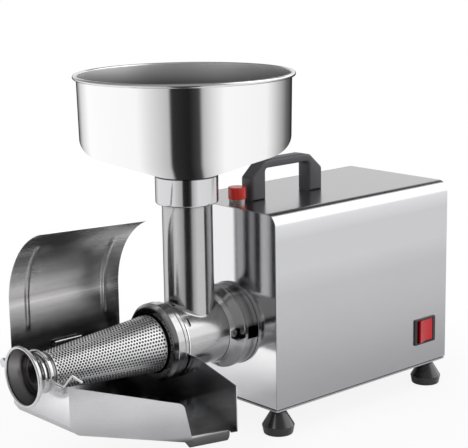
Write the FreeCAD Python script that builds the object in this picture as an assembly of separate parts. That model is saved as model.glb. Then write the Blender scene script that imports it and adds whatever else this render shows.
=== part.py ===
"""Electric tomato strainer: motor box, gear train, strainer body, screen, hopper, tray and splash guard.

Millimetres, +Z up. The object stands on z = 0, its drive axis lies along Y and the outlet points to -Y.
The origin is below the middle of the whole object. A station is a distance ahead of the cover's front
edge, towards the outlet, and a depth is a distance behind that edge, into the motor box.
"""

import FreeCAD
import Part
import math
import os

os.makedirs("parts", exist_ok=True)

Vector = FreeCAD.Vector
X_AXIS = Vector(1, 0, 0)
Y_AXIS = Vector(0, 1, 0)
Z_AXIS = Vector(0, 0, 1)

# ---------------------------------------------------------------- driving dimensions
# Fits and gaps
RUNNING = 0.05            # radial clearance of a shaft that turns in its bore
SLIP = 0.1                # gap between pieces that are put together by hand
LOOSE = 0.4               # gap round a piece that must not touch its neighbour
OVERRUN = 2.0             # how far a cutting tool reaches past the face that it cuts
TOOL_REACH = 60.0         # how far the tools that trim the tray reach past its sheet

# Motor box
COVER_WIDTH = 176.0
COVER_LENGTH = 295.0
COVER_HEIGHT = 226.0
COVER_SHEET = 1.2
COVER_CORNER = 14.0
BASE_SHEET = 2.0
BASE_CORNER = 3.0
JOINT_STRIP = 1.0         # height of the strip between base plate and cover
JOINT_STRIP_WIDTH = 6.0
JOINT_STRIP_INSET = 1.0
FRONT_PLATE = 2.0
FRONT_PLATE_INSET = 1.0
REAR_PLATE = 2.0
REAR_PLATE_INSET = 3.0
PLATE_FLANGE = 12.0       # frame inside the cover that takes the rear screws
VENT_LENGTH = 46.0
VENT_WIDTH = 4.0
VENT_PITCH = 10.0
VENT_ROWS = 8
VENT_COLUMN = 30.0        # from the middle to the middle of a column of vents
VENT_LOW = 60.0           # lowest vent above the base plate

# Feet
FOOT_HEIGHT = 32.0
FOOT_TOP_R = 6.0
FOOT_WIDE_R = 19.0
FOOT_WIDE_Z = 10.0
FOOT_SOLE_R = 17.0
FOOT_SOLE_EDGE = 1.5
FOOT_INSET_X = 17.3
FOOT_INSET_FRONT = 18.0
FOOT_INSET_REAR = 17.0
FOOT_SCREW_R = 2.5
FOOT_SCREW_HEAD_R = 4.6
FOOT_SCREW_HEAD = 3.5
FOOT_RECESS_R = 6.5
FOOT_RECESS = 8.0
NUT_R = 4.6
NUT_HEIGHT = 4.0

# Handle
HANDLE_WIDTH = 20.0
HANDLE_FRONT = 38.0       # depth of its front face
HANDLE_LENGTH = 115.0
HANDLE_HEIGHT = 46.0
HANDLE_LEG = 22.0
HANDLE_GRIP = 10.0
HANDLE_CHAMFER_LONG = 19.0
HANDLE_CHAMFER_TALL = 19.0
HANDLE_EDGE = 2.0
HANDLE_CORNER = 3.0       # inner corners below the grip
HANDLE_CROWN = 10.0       # length of the gentle slope at each end of the grip's top
HANDLE_SCREW_R = 2.5
HANDLE_SCREW_LENGTH = 16.0

# Push button on the top
BUTTON_DEPTH = 23.0       # depth of its axis
BUTTON_CAP_R = 10.4
BUTTON_HEIGHT = 18.3      # top of the cap above the cover
BUTTON_BASE_SHOWS = 4.5
BUTTON_TRAVEL = 3.0
BUTTON_WALL = 0.9
BUTTON_SKIRT = 6.0
BUTTON_STEM_R = 3.0
BUTTON_FLOOR = 2.0
BUTTON_SPRING_ROOM_R = 6.2
SPRING_R = 4.6
SPRING_WIRE = 0.9         # side of the spring's square wire
SPRING_TURNS = 4
SWITCH_BLOCK_WIDTH = 16.0
SWITCH_BLOCK_HEIGHT = 24.0

# Rocker switch on the side
ROCKER_MARGIN = 21.45     # from the bezel to the cover's rear edge
ROCKER_Z = 41.8           # middle above the cover's lower edge
BEZEL_LENGTH = 38.5
BEZEL_HEIGHT = 33.0
BEZEL_PROUD = 2.0
BEZEL_FRAME = 5.0
BEZEL_FRAME_TALL = 2.2
BEZEL_BODY = 24.0
BEZEL_STEP = 1.3          # the body is this much smaller than the bezel all round
ROCKER_PIVOT = 7.0        # pivot behind the bezel's face
ROCKER_TILT = 8.0
ROCKER_PROUD = 2.6
ROCKER_DISH = 2.4
ROCKER_PIN_R = 1.5

# Drive axis and gear train
AXIS_Z = 84.5             # above the cover's lower edge
PRESSURE_ANGLE = 25.0
ADDENDUM = 0.8
DEDENDUM = 1.05
BACKLASH = 0.3
OUTPUT_MODULE = 2.0
OUTPUT_TEETH = 37
LAY_PINION_TEETH = 13
INPUT_MODULE = 1.5
LAY_GEAR_TEETH = 48
MOTOR_PINION_TEETH = 14
MOTOR_RISE = 56.5         # rotor axis above the drive axis
GEARBOX_WALL = 6.0
GEARBOX_SIDE = 4.0
GEARBOX_GAP = 2.5         # between gear tips and the case
GEARBOX_COVER = 6.0
GEAR_GAP = 3.0
OUTPUT_GEAR_WIDTH = 14.0
LAY_GEAR_WIDTH = 12.0
OUTPUT_SHAFT_R = 10.0
LAY_SHAFT_R = 6.0
BEARING_WALL = 5.0
BEARING_SEAT = 4.0        # depth of a blind bearing seat
GEARBOX_SCREW_R = 2.0
SCREW_HEAD = 1.8          # height of a small screw's head
SCREW_REACH = 6.0         # how far a rear screw reaches behind its plate

# Motor
MOTOR_R = 55.0
MOTOR_WALL = 3.0
MOTOR_LENGTH = 118.0
MOTOR_CAP = 10.0
ROTOR_SHAFT_R = 7.0
ROTOR_R = 30.0
ROTOR_LENGTH = 70.0
AIR_GAP = 0.8
STATOR_LENGTH = 74.0
WINDING_LENGTH = 14.0
MOTOR_BEARING_R = 14.0
FAN_R = 44.0
FAN_HUB_R = 12.0
FAN_WIDTH = 16.0
FAN_BLADES = 8
FAN_BLADE = 2.0
FAN_GAP = 6.0
CRADLE_LENGTH = 70.0
CRADLE_WIDTH = 90.0
CRADLE_SHEET = 3.0
CRADLE_WRAP = 0.45        # top of its end plates below the motor's axis, as a share of the motor's radius
CAPACITOR_R = 18.0
CAPACITOR_LENGTH = 62.0
CAPACITOR_INSET = 40.0    # its axis from the cover's left side
CAPACITOR_BEHIND = 14.0   # from its rear end to the rear plate
CAPACITOR_STRAP = 2.0

# Cable entry in the rear plate
GROMMET_R = 9.0
GROMMET_NECK_R = 6.5
GROMMET_BORE_R = 4.0
GROMMET_FLANGE = 2.4
GROMMET_X = -50.0
GROMMET_Z = 28.0          # above the cover's lower edge

# Nose and strainer body, from the front plate towards the outlet
HUB_R = 48.4
HUB_LENGTH = 7.0
HUB_SPIGOT_R = 24.0
HUB_SPIGOT = 15.0
HUB_TAIL_R = 30.0
NOTCH_HEIGHT = 14.5
NOTCH_DEPTH = 12.0
BUSH_R = 14.0
BODY_FLANGE_R = 49.0
BODY_FLANGE = 5.0
FLARE_LENGTH = 14.0
FLARE_R = 39.0
BARREL_R = 38.5
BARREL_LENGTH = 64.0
BARREL_BORE_R = 33.0
BODY_BACK = 5.0           # wall between the barrel's bore and the hub's spigot
STOP_R = BARREL_R + 5.0
STOP_LENGTH = 5.0
NUT_WALL = 6.0
NUT_OUTER_R = BARREL_R + NUT_WALL
NUT_FRONT_R = BARREL_R + 2.0
NUT_TAPER = 5.0           # length over which the nut narrows to its front face
RING_NUT_LENGTH = 15.0
RING_NUT_LIP = 4.0
RING_NUT_EDGE = 1.5
SCREEN_FLANGE = 2.0
POCKET_STATION = 18.0
POCKET_FLATS = 13.5
POCKET_FLOOR_R = 36.0
LOCK_SCREW_R = 4.0
LOCK_SCREW_KEY = 4.0
MARK_STATION = 80.0       # two shallow oval recesses on top of the barrel
MARK_LENGTH = 11.0
MARK_WIDTH = 4.5
MARK_ANGLE = 28.0         # from straight up to the middle between the two
MARK_TURN = 46.0
MARK_SINK = 1.5
SEAL_R = 17.0

# Feed tube and hopper
FEED_STATION = 52.5
FEED_R = 28.6
FEED_BORE_R = 25.0
FEED_FILLET = 5.0
FEED_ABOVE = 152.5        # collar's lower face above the drive axis
COLLAR_R = 35.5
COLLAR_HEIGHT = 32.0
COLLAR_ENGAGED = 18.0
COLLAR_EDGE = 2.0
HOPPER_R = 118.8
HOPPER_SHEET = 1.0
HOPPER_HEIGHT = 114.0     # from the collar's top to the rim
HOPPER_SLOPE_R = 100.0
HOPPER_SLOPE_RISE = 22.5
HOPPER_CORNER = 21.0
HOPPER_WALL_TAPER = 1.5
HOPPER_PARTING = 10.0     # level above the wall's foot at which floor and wall part
BEAD_R = 3.2

# Screen, end ring and waste outlet
SCREEN_REAR_R = 32.6
SCREEN_FRONT_R = 20.6
SCREEN_SHEET = 0.8
SCREEN_LENGTH = 142.0     # from the ring nut's front face to the end ring
END_RING_R = 21.2
END_RING_BORE_R = 17.0
END_RING_LENGTH = 10.0
END_RING_SLEEVE = 6.0
OUTLET_SHEET = 1.0
OUTLET_LENGTH = 19.5      # ahead of the end ring
OUTLET_NECK = 6.0
OUTLET_MOUTH_R = 31.8
OUTLET_BEAD_R = 1.7
OUTLET_NECK_BEND = 8.0     # bend from the neck into the flare, on the outside
OUTLET_LIP_BEND = 4.0

# Auger
AUGER_CORE_REAR_R = 15.0
AUGER_CORE_FRONT_R = 8.0
AUGER_PITCH = 36.0
AUGER_FLIGHT = 3.5
AUGER_BLADE = 18.4        # height of the blade before it sinks into the core
AUGER_GAP = 0.8
AUGER_TIP = 6.0           # how far the tip reaches into the end ring
DRIVE_FLATS = 14.0
DRIVE_LENGTH = 22.0

# Juice tray
TRAY_SHEET = 1.0
TRAY_FLOOR_BELOW = 54.5   # floor's upper face below the drive axis
TRAY_REAR_STATION = 88.0
TRAY_FRONT_STATION = 258.5
TRAY_LEFT = 53.0
TRAY_RIGHT = 51.5
TRAY_RIM_BELOW = 4.5      # front rim below the drive axis
TRAY_REAR_RIM_BELOW = 8.5
TRAY_CHAMFER_TALL = 8.5
TRAY_CHAMFER_DEEP = 6.0
SPOUT_NEAR_ANGLE = 30.0
SPOUT_NEAR_LENGTH = 128.0
SPOUT_NEAR_DROP = 13.3
SPOUT_NEAR_RAKE = 11.4
SPOUT_NEAR_CORNER = 8.0
SPOUT_NEAR_TOP = 119.0    # along the near wall from the fold to its raked end, at the top
SPOUT_FAR_ANGLE = 4.0
SPOUT_FAR_LENGTH = 73.0
SPOUT_FAR_DROP = 12.0
SPOUT_SLOPE = 15.3
SPOUT_OPEN = 8.0          # how far past the spout's end the hollow is cut
SPOUT_APRON = 3.0         # how far the near wall hangs below the floor at its end
LIP_BACK = 4.0            # from the ends of the walls back to the lip's fold
LIP_LAP = 4.0
LIP_REACH = 1.4           # from the ends of the walls out to the lip's lower edge
LIP_DROP = 9.0
LIP_BEND = 4.0
LIP_CORNER = 8.0
LIP_SHORT = 8.0           # the lip ends this far before the far wall
TRAY_CLASP_R = 43.0
TRAY_CLASP_RISE = 24.0    # the clasp round the barrel reaches this far above the axis

# Guard
GUARD_SHEET = 1.0
GUARD_X = 54.0
GUARD_REAR_STATION = 112.0
GUARD_FRONT_STATION = 257.2
GUARD_FOOT_BELOW = 12.0   # lower edge below the drive axis
GUARD_FRONT_R = 88.8
GUARD_FRONT_RISE = 63.5   # start of the bend above the drive axis
GUARD_FRONT_TURN = 75.0
GUARD_REAR_R = 87.4
GUARD_REAR_RISE = 58.8
GUARD_REAR_TURN = 68.0
RIB_WIDTH = 5.0
RIB_PROUD = 1.4
RIB_FROM_FRONT = 24.0
RIB_FROM_REAR = 19.0
RIB_FOOT_ABOVE = 4.0
RIB_TURN = 52.0
HINGE_X = 57.4
HINGE_BELOW = 12.0
HINGE_PIN_R = 1.5
KNUCKLE_R = 3.4
KNUCKLE_LENGTH = 18.0
KNUCKLE_INSET = 12.0
STAPLE_STATION = 186.0
STAPLE_LENGTH = 34.0
STAPLE_RISE = 10.5        # rod above the drive axis
STAPLE_LEG = 7.0
STAPLE_OFF = 3.5
STAPLE_R = 1.2

# Wire bail
BAIL_R = 1.2
BAIL_STAND = 1.3          # gap between the tray's front face and the wire
BAIL_ARCH = 24.6
BAIL_EYE_R = 4.2
BAIL_EYE_X = 64.0
BAIL_EYE_BELOW = 3.0
BAIL_RUN_X = 47.0
BAIL_RUN_BELOW = 3.4
BAIL_GRIP_X = 62.5
BAIL_GRIP_RISE = 11.6
BAIL_TIP_X = 67.0
BAIL_TIP_RISE = 3.5
BAIL_TIP_BACK = 9.0
BAIL_RIVET_R = 1.6
BAIL_RIVET_HEAD = 1.2
EAR_MARGIN = 5.0          # of the tray's ear round the bail's eye
EAR_DROP = 14.0           # from the eye down to the foot of the ear
CATCH_X = 38.5
CATCH_WIDTH = 12.0
CATCH_HEIGHT = 8.0
CATCH_DEPTH = 4.0

# ---------------------------------------------------------------- places worked out from them
BASE_TOP = FOOT_HEIGHT + BASE_SHEET
COVER_FOOT = BASE_TOP + JOINT_STRIP
COVER_TOP = COVER_FOOT + COVER_HEIGHT
COVER_IN_X = COVER_WIDTH / 2 - COVER_SHEET
ROCKER_DEPTH = COVER_LENGTH - ROCKER_MARGIN - BEZEL_LENGTH / 2
CAPACITOR_X = CAPACITOR_INSET - COVER_WIDTH / 2

STATION_FLANGE = HUB_LENGTH + BODY_FLANGE
STATION_FLARE = STATION_FLANGE + FLARE_LENGTH
STATION_STOP = STATION_FLARE + BARREL_LENGTH
STATION_NUT = STATION_STOP + STOP_LENGTH
STATION_SCREEN = STATION_NUT + RING_NUT_LENGTH
STATION_RING = STATION_SCREEN + SCREEN_LENGTH
STATION_NECK = STATION_RING + END_RING_LENGTH
STATION_MOUTH = STATION_NECK + OUTLET_LENGTH

REAR_DEPTH = max(COVER_LENGTH, COVER_LENGTH - FOOT_INSET_REAR + FOOT_WIDE_R)
FRONT_Y = (STATION_MOUTH - REAR_DEPTH) / 2
DRIVE_Z = COVER_FOOT + AXIS_Z

PLATE_BACK = FRONT_PLATE_INSET + FRONT_PLATE
GEARBOX_BACK = PLATE_BACK + GEARBOX_WALL + 2 * GEAR_GAP + OUTPUT_GEAR_WIDTH + LAY_GEAR_WIDTH + GEAR_GAP
COVER_BACK = GEARBOX_BACK + GEARBOX_COVER
OUTPUT_GEAR_DEPTH = PLATE_BACK + GEARBOX_WALL + GEAR_GAP
LAY_GEAR_DEPTH = OUTPUT_GEAR_DEPTH + OUTPUT_GEAR_WIDTH + GEAR_GAP
MOTOR_DEPTH = COVER_BACK + MOTOR_CAP
MOTOR_BACK = MOTOR_DEPTH + MOTOR_LENGTH
FAN_DEPTH = MOTOR_BACK + MOTOR_CAP + FAN_GAP

OUTPUT_CENTRES = OUTPUT_MODULE * (OUTPUT_TEETH + LAY_PINION_TEETH) / 2
INPUT_CENTRES = INPUT_MODULE * (LAY_GEAR_TEETH + MOTOR_PINION_TEETH) / 2
LAY_RISE = (OUTPUT_CENTRES**2 - INPUT_CENTRES**2 + MOTOR_RISE**2) / (2 * MOTOR_RISE)
LAY_X = -math.sqrt(OUTPUT_CENTRES**2 - LAY_RISE**2)
LAY_Z = DRIVE_Z + LAY_RISE
MOTOR_Z = DRIVE_Z + MOTOR_RISE

COLLAR_FOOT = DRIVE_Z + FEED_ABOVE
COLLAR_TOP = COLLAR_FOOT + COLLAR_HEIGHT
RIM_TOP = COLLAR_TOP + HOPPER_HEIGHT
TRAY_FLOOR = DRIVE_Z - TRAY_FLOOR_BELOW


def station(distance):
    """Y of a point this far ahead of the cover's front edge."""
    return FRONT_Y - distance


def depth(distance):
    """Y of a point this far behind the cover's front edge."""
    return FRONT_Y + distance


# ---------------------------------------------------------------- geometry helpers
def xy(u, v):
    return Vector(u, v, 0)


def xz(u, v):
    return Vector(u, 0, v)


def yz(u, v):
    return Vector(0, u, v)


def rounded_wire(points, place=xy):
    """Closed outline of straight runs, with a tangent arc at each point (u, v, radius)."""
    corners = [(Vector(p[0], p[1], 0), p[2] if len(p) > 2 else 0.0) for p in points]
    count = len(corners)
    stretches = []
    for index, (corner, radius) in enumerate(corners):
        if radius == 0:
            stretches.append((corner, corner, corner))
            continue
        to_last = (corners[index - 1][0] - corner).normalize()
        to_next = (corners[(index + 1) % count][0] - corner).normalize()
        half = to_last.getAngle(to_next) / 2
        reach = radius / math.tan(half)
        bisector = (to_last + to_next).normalize()
        middle = corner + bisector * (radius / math.sin(half) - radius)
        stretches.append((corner + to_last * reach, middle, corner + to_next * reach))
    edges = []
    for index, (start, middle, end) in enumerate(stretches):
        if (end - start).Length > 1e-6:
            edges.append(Part.Arc(place(*start[:2]), place(*middle[:2]), place(*end[:2])).toShape())
        following = stretches[(index + 1) % count][0]
        if (following - end).Length > 1e-6:
            edges.append(Part.LineSegment(place(*end[:2]), place(*following[:2])).toShape())
    return Part.Wire(edges)


def sheet_outline(path, thickness):
    """Closed outline of a bent sheet: the path (u, v, radius) and its copy offset to the left."""
    offset = []
    for index, point in enumerate(path):
        here = Vector(point[0], point[1], 0)
        before = here - Vector(*path[index - 1][:2], 0) if index else None
        after = Vector(*path[index + 1][:2], 0) - here if index + 1 < len(path) else None
        before = (before or after).normalize()
        after = (after or before).normalize()
        normal = Vector(-before.y - after.y, before.x + after.x, 0).normalize()
        left = Vector(-before.y, before.x, 0)
        moved = here + normal * (thickness / normal.dot(left))
        turn = before.x * after.y - before.y * after.x
        radius = point[2] if len(point) > 2 else 0.0
        if radius:
            radius = radius - thickness if turn > 0 else radius + thickness
        offset.append((moved.x, moved.y, radius))
    return list(path) + offset[::-1]


def slot(u, v, length, width):
    """Outline of a slot with round ends about (u, v), its length along u."""
    half = length / 2
    end = width / 2
    corner = end * 0.98
    signs = ((-1, -1), (1, -1), (1, 1), (-1, 1))
    return [(u + a * half, v + b * end, corner) for a, b in signs]


def slab(points, place, start, length, direction):
    """Prism of a rounded outline, moved by start along direction and length thick."""
    face = Part.Face(rounded_wire(points, place))
    face.translate(direction * start)
    return face.extrude(direction * length)


def plate_xz(points, y, length):
    return slab(points, xz, y, length, Y_AXIS)


def plate_xy(points, z, height):
    return slab(points, xy, z, height, Z_AXIS)


def plate_yz(points, x, length):
    return slab(points, yz, x, length, X_AXIS)


def block(x0, x1, y0, y1, z0, z1):
    return Part.makeBox(x1 - x0, y1 - y0, z1 - z0, Vector(x0, y0, z0))


def rod_y(x, z, y0, y1, radius):
    return Part.makeCylinder(radius, y1 - y0, Vector(x, y0, z), Y_AXIS)


def rod_z(x, y, z0, z1, radius):
    return Part.makeCylinder(radius, z1 - z0, Vector(x, y, z0), Z_AXIS)


def rod_x(y, z, x0, x1, radius):
    return Part.makeCylinder(radius, x1 - x0, Vector(x0, y, z), X_AXIS)


def ring_y(x, z, y0, y1, outer, inner):
    return rod_y(x, z, y0, y1, outer).cut(rod_y(x, z, y0 - OVERRUN, y1 + OVERRUN, inner))


def turned_z(points, x, y):
    """Solid of revolution about a vertical axis, from an outline of (radius, z, corner)."""
    face = Part.Face(rounded_wire(points, xz))
    solid = face.revolve(Vector(0, 0, 0), Z_AXIS, 360)
    solid.translate(Vector(x, y, 0))
    return solid


def turned_nose(points):
    """Solid of revolution about the drive axis, from an outline of (radius, station, corner)."""
    outline = [(p[0], station(p[1])) + tuple(p[2:]) for p in points]
    face = Part.Face(rounded_wire(outline, xy))
    solid = face.revolve(Vector(0, 0, 0), Y_AXIS, 360)
    solid.translate(Vector(0, 0, DRIVE_Z))
    return solid


def hexagon(flats):
    """Corners of a hexagon of this width across flats, with a flat up and down."""
    radius = flats / math.sqrt(3)
    angles = [math.radians(60 * i) for i in range(6)]
    return [(radius * math.cos(a), radius * math.sin(a)) for a in angles]


def hexagon_rod_y(flats, y0, y1):
    rod = plate_xz(hexagon(flats), y0, y1 - y0)
    rod.translate(Vector(0, 0, DRIVE_Z))
    return rod


def wire_rod(points, radius):
    """Round wire along straight runs joined by ball corners."""
    pieces = []
    for start, end in zip(points, points[1:]):
        pieces.append(Part.makeCylinder(radius, (end - start).Length, start, end - start))
    for point in points[1:-1]:
        pieces.append(Part.makeSphere(radius, point))
    return pieces[0].fuse(pieces[1:]).removeSplitter()


def fused(pieces):
    return pieces[0].fuse(pieces[1:]).removeSplitter() if len(pieces) > 1 else pieces[0]


def save(node, shape):
    """Write one node, after making sure that every solid in it is sound."""
    solids = shape.Solids
    assert solids, node
    assert shape.isValid(), node
    if len(solids) == 1:
        shape = solids[0]
    shape.exportStep(os.path.join("parts", node + ".step"))
    print(node, len(solids), round(shape.Volume / 1000, 2), "cm3")


# ---------------------------------------------------------------- gears
def gear(module, teeth, angle, x, z, y0, width, bore):
    """Spur gear about an axis along Y, with a tooth's middle at this angle in the XZ plane."""
    pitch_r = module * teeth / 2
    base_r = pitch_r * math.cos(math.radians(PRESSURE_ANGLE))
    tip_r = pitch_r + ADDENDUM * module
    root_r = pitch_r - DEDENDUM * module
    lowest = max(base_r, root_r)
    inv_pitch = math.tan(math.radians(PRESSURE_ANGLE)) - math.radians(PRESSURE_ANGLE)
    half_pitch = math.pi / (2 * teeth) - BACKLASH / (4 * pitch_r)
    flank = []
    for step in range(6):
        radius = lowest + (tip_r - lowest) * step / 5
        alpha = math.acos(base_r / radius)
        flank.append((radius, half_pitch + inv_pitch - (math.tan(alpha) - alpha)))
    if root_r < base_r:
        flank.insert(0, (root_r, flank[0][1]))
    outline = []
    for tooth in range(teeth):
        middle = angle + 2 * math.pi * tooth / teeth
        outline += [(r * math.cos(middle - a), r * math.sin(middle - a)) for r, a in flank]
        outline += [(r * math.cos(middle + a), r * math.sin(middle + a)) for r, a in reversed(flank)]
    solid = plate_xz(outline, y0, width)
    solid.translate(Vector(x, 0, z))
    return solid.cut(rod_y(x, z, y0 - OVERRUN, y0 + width + OVERRUN, bore)) if bore else solid


def mating_angle(line_angle, angle, teeth, mate_teeth):
    """Angle of a tooth of the mate, so that it is in mesh across the line between the centres."""
    return line_angle + math.pi + math.pi / mate_teeth + (line_angle - angle) * teeth / mate_teeth


def gear_angles():
    """Angles of one tooth of the output gear, lay pinion, lay gear and motor pinion."""
    output = math.pi / 2
    to_lay = math.atan2(LAY_RISE, LAY_X)
    lay = mating_angle(to_lay, output, OUTPUT_TEETH, LAY_PINION_TEETH)
    to_motor = math.atan2(MOTOR_RISE - LAY_RISE, -LAY_X)
    motor = mating_angle(to_motor, lay, LAY_GEAR_TEETH, MOTOR_PINION_TEETH)
    return output, lay, lay, motor


# ---------------------------------------------------------------- motor box
def rectangle(width, y0, y1, corner=0.0):
    half = width / 2
    return [(-half, y0, corner), (half, y0, corner), (half, y1, corner), (-half, y1, corner)]


def feet_places():
    """Names and centres of the four feet."""
    side = COVER_WIDTH / 2 - FOOT_INSET_X
    rows = {"front": depth(FOOT_INSET_FRONT), "rear": depth(COVER_LENGTH - FOOT_INSET_REAR)}
    return {
        f"{row}_{name}": (sign * side, y)
        for row, y in rows.items()
        for name, sign in (("left", -1), ("right", 1))
    }


def base_plate():
    outline = rectangle(COVER_WIDTH, depth(0), depth(COVER_LENGTH), BASE_CORNER)
    plate = plate_xy(outline, FOOT_HEIGHT, BASE_SHEET)
    for x, y in feet_places().values():
        plate = plate.cut(rod_z(x, y, FOOT_HEIGHT - OVERRUN, BASE_TOP + OVERRUN, FOOT_SCREW_R + RUNNING))
    return plate


def joint_strip():
    outer = COVER_WIDTH - 2 * JOINT_STRIP_INSET
    inner = outer - 2 * JOINT_STRIP_WIDTH
    ends = (depth(JOINT_STRIP_INSET), depth(COVER_LENGTH - JOINT_STRIP_INSET))
    hole = (ends[0] + JOINT_STRIP_WIDTH, ends[1] - JOINT_STRIP_WIDTH)
    strip = plate_xy(rectangle(outer, *ends, BASE_CORNER), BASE_TOP, JOINT_STRIP)
    return strip.cut(plate_xy(rectangle(inner, *hole), BASE_TOP - OVERRUN, JOINT_STRIP + 2 * OVERRUN))


def handle_legs():
    """Depths of the middles of the two legs."""
    return (HANDLE_FRONT + HANDLE_LEG / 2, HANDLE_FRONT + HANDLE_LENGTH - HANDLE_LEG / 2)


def switch_hole(clearance):
    """Outline in the side of the cover for the switch's body, as (y, z)."""
    half_y = BEZEL_LENGTH / 2 - BEZEL_STEP + clearance
    half_z = BEZEL_HEIGHT / 2 - BEZEL_STEP + clearance
    y = depth(ROCKER_DEPTH)
    z = COVER_FOOT + ROCKER_Z
    sides = (y - half_y, y + half_y)
    ends = (z - half_z, z + half_z)
    return [(sides[0], ends[0]), (sides[1], ends[0]), (sides[1], ends[1]), (sides[0], ends[1])]


def housing_cover():
    half = COVER_WIDTH / 2
    path = [(half, COVER_FOOT), (half, COVER_TOP, COVER_CORNER)]
    path += [(-half, COVER_TOP, COVER_CORNER), (-half, COVER_FOOT)]
    cover = plate_xz(sheet_outline(path, COVER_SHEET), depth(0), COVER_LENGTH).fuse(rear_flange())
    above = (COVER_TOP - COVER_SHEET - OVERRUN, COVER_TOP + OVERRUN)
    cover = cover.cut(rod_z(0, depth(BUTTON_DEPTH), *above, BUTTON_STEM_R + SLIP))
    for leg in handle_legs():
        cover = cover.cut(rod_z(0, depth(leg), *above, HANDLE_SCREW_R + RUNNING))
    return cover.cut(plate_yz(switch_hole(SLIP), COVER_IN_X - OVERRUN, COVER_SHEET + 2 * OVERRUN))


def end_plate_outline(shrink=0.0):
    """Outline (x, z) of a plate that closes an end of the cover."""
    half = COVER_IN_X - SLIP - shrink
    top = COVER_TOP - COVER_SHEET - SLIP - shrink
    corner = COVER_CORNER - COVER_SHEET - SLIP
    return [(-half, COVER_FOOT), (half, COVER_FOOT), (half, top, corner), (-half, top, corner)]


def rear_flange():
    """Frame folded in from the cover that the rear plate is screwed to."""
    start = depth(rear_face() - REAR_PLATE - COVER_SHEET)
    frame = plate_xz(end_plate_outline(-SLIP - COVER_SHEET / 2), start, COVER_SHEET)
    frame = frame.cut(plate_xz(end_plate_outline(PLATE_FLANGE), start - OVERRUN, COVER_SHEET + 2 * OVERRUN))
    for x, z in rear_screws_places():
        frame = frame.cut(rod_y(x, z, start - OVERRUN, start + COVER_SHEET + OVERRUN, GEARBOX_SCREW_R))
    return frame


def hub_screws_places():
    """Places (x, z) of the four screws that hold the hub to the gearbox."""
    radius = (HUB_SPIGOT_R + BUSH_R) / 2
    angles = (math.radians(45 + 90 * i) for i in range(4))
    return [(radius * math.cos(a), DRIVE_Z + radius * math.sin(a)) for a in angles]


def front_plate():
    plate = plate_xz(end_plate_outline(), depth(FRONT_PLATE_INSET), FRONT_PLATE)
    return plate.cut(rod_y(0, DRIVE_Z, depth(0) - OVERRUN, depth(PLATE_BACK) + OVERRUN, HUB_TAIL_R + SLIP))


def rear_face():
    """Depth of the rear plate's outer face."""
    return COVER_LENGTH - REAR_PLATE_INSET


def rear_screws_places():
    x = COVER_IN_X - SLIP - PLATE_FLANGE / 2
    low = COVER_FOOT + PLATE_FLANGE
    high = COVER_TOP - COVER_CORNER - PLATE_FLANGE
    return [(sx * x, z) for sx in (-1, 1) for z in (low, high)]


def rear_plate():
    front = rear_face() - REAR_PLATE
    plate = plate_xz(end_plate_outline(), depth(front), REAR_PLATE)
    cut_from = depth(front) - OVERRUN
    cut_length = REAR_PLATE + 2 * OVERRUN
    for column in (-VENT_COLUMN, VENT_COLUMN):
        for row in range(VENT_ROWS):
            z = COVER_FOOT + VENT_LOW + row * VENT_PITCH
            plate = plate.cut(plate_xz(slot(column, z, VENT_LENGTH, VENT_WIDTH), cut_from, cut_length))
    for x, z in rear_screws_places():
        plate = plate.cut(rod_y(x, z, cut_from, cut_from + cut_length, GEARBOX_SCREW_R + RUNNING))
    grommet_z = COVER_FOOT + GROMMET_Z
    return plate.cut(rod_y(GROMMET_X, grommet_z, cut_from, cut_from + cut_length, GROMMET_NECK_R))


def rear_screws():
    """Four pan-head screws through the plate into the frame."""
    face = depth(rear_face())
    screws = []
    for x, z in rear_screws_places():
        head = rod_y(x, z, face, face + SCREW_HEAD, GEARBOX_SCREW_R * 2)
        shank = rod_y(x, z, face - REAR_PLATE - SCREW_REACH, face, GEARBOX_SCREW_R)
        screws.append(head.fuse(shank).removeSplitter())
    return Part.makeCompound(screws)


def cable_grommet():
    z = COVER_FOOT + GROMMET_Z
    face = depth(rear_face())
    inner = face - REAR_PLATE
    rings = [
        rod_y(GROMMET_X, z, face, face + GROMMET_FLANGE, GROMMET_R),
        rod_y(GROMMET_X, z, inner, face, GROMMET_NECK_R),
        rod_y(GROMMET_X, z, inner - GROMMET_FLANGE, inner, GROMMET_R),
    ]
    ends = (inner - GROMMET_FLANGE - OVERRUN, face + GROMMET_FLANGE + OVERRUN)
    bore = rod_y(GROMMET_X, z, *ends, GROMMET_BORE_R)
    return fused(rings).cut(bore)


def foot(x, y):
    outline = [
        (FOOT_RECESS_R, 0), (FOOT_SOLE_R, 0, FOOT_SOLE_EDGE), (FOOT_WIDE_R, FOOT_WIDE_Z, FOOT_SOLE_EDGE),
        (FOOT_TOP_R, FOOT_HEIGHT), (FOOT_SCREW_R + RUNNING, FOOT_HEIGHT),
        (FOOT_SCREW_R + RUNNING, FOOT_RECESS), (FOOT_RECESS_R, FOOT_RECESS),
    ]
    return turned_z(outline, x, y)


def foot_screws():
    """Four bolts up through the feet, each with its nut on the base plate."""
    bolts = []
    for x, y in feet_places().values():
        shank = rod_z(x, y, FOOT_RECESS, BASE_TOP + NUT_HEIGHT + 1, FOOT_SCREW_R)
        head = rod_z(x, y, FOOT_RECESS - FOOT_SCREW_HEAD, FOOT_RECESS, FOOT_SCREW_HEAD_R)
        nut = plate_xy(hexagon(2 * NUT_R), BASE_TOP, NUT_HEIGHT)
        nut.translate(Vector(x, y, 0))
        bolts.append(fused([shank, head, nut]))
    return Part.makeCompound(bolts)


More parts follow.
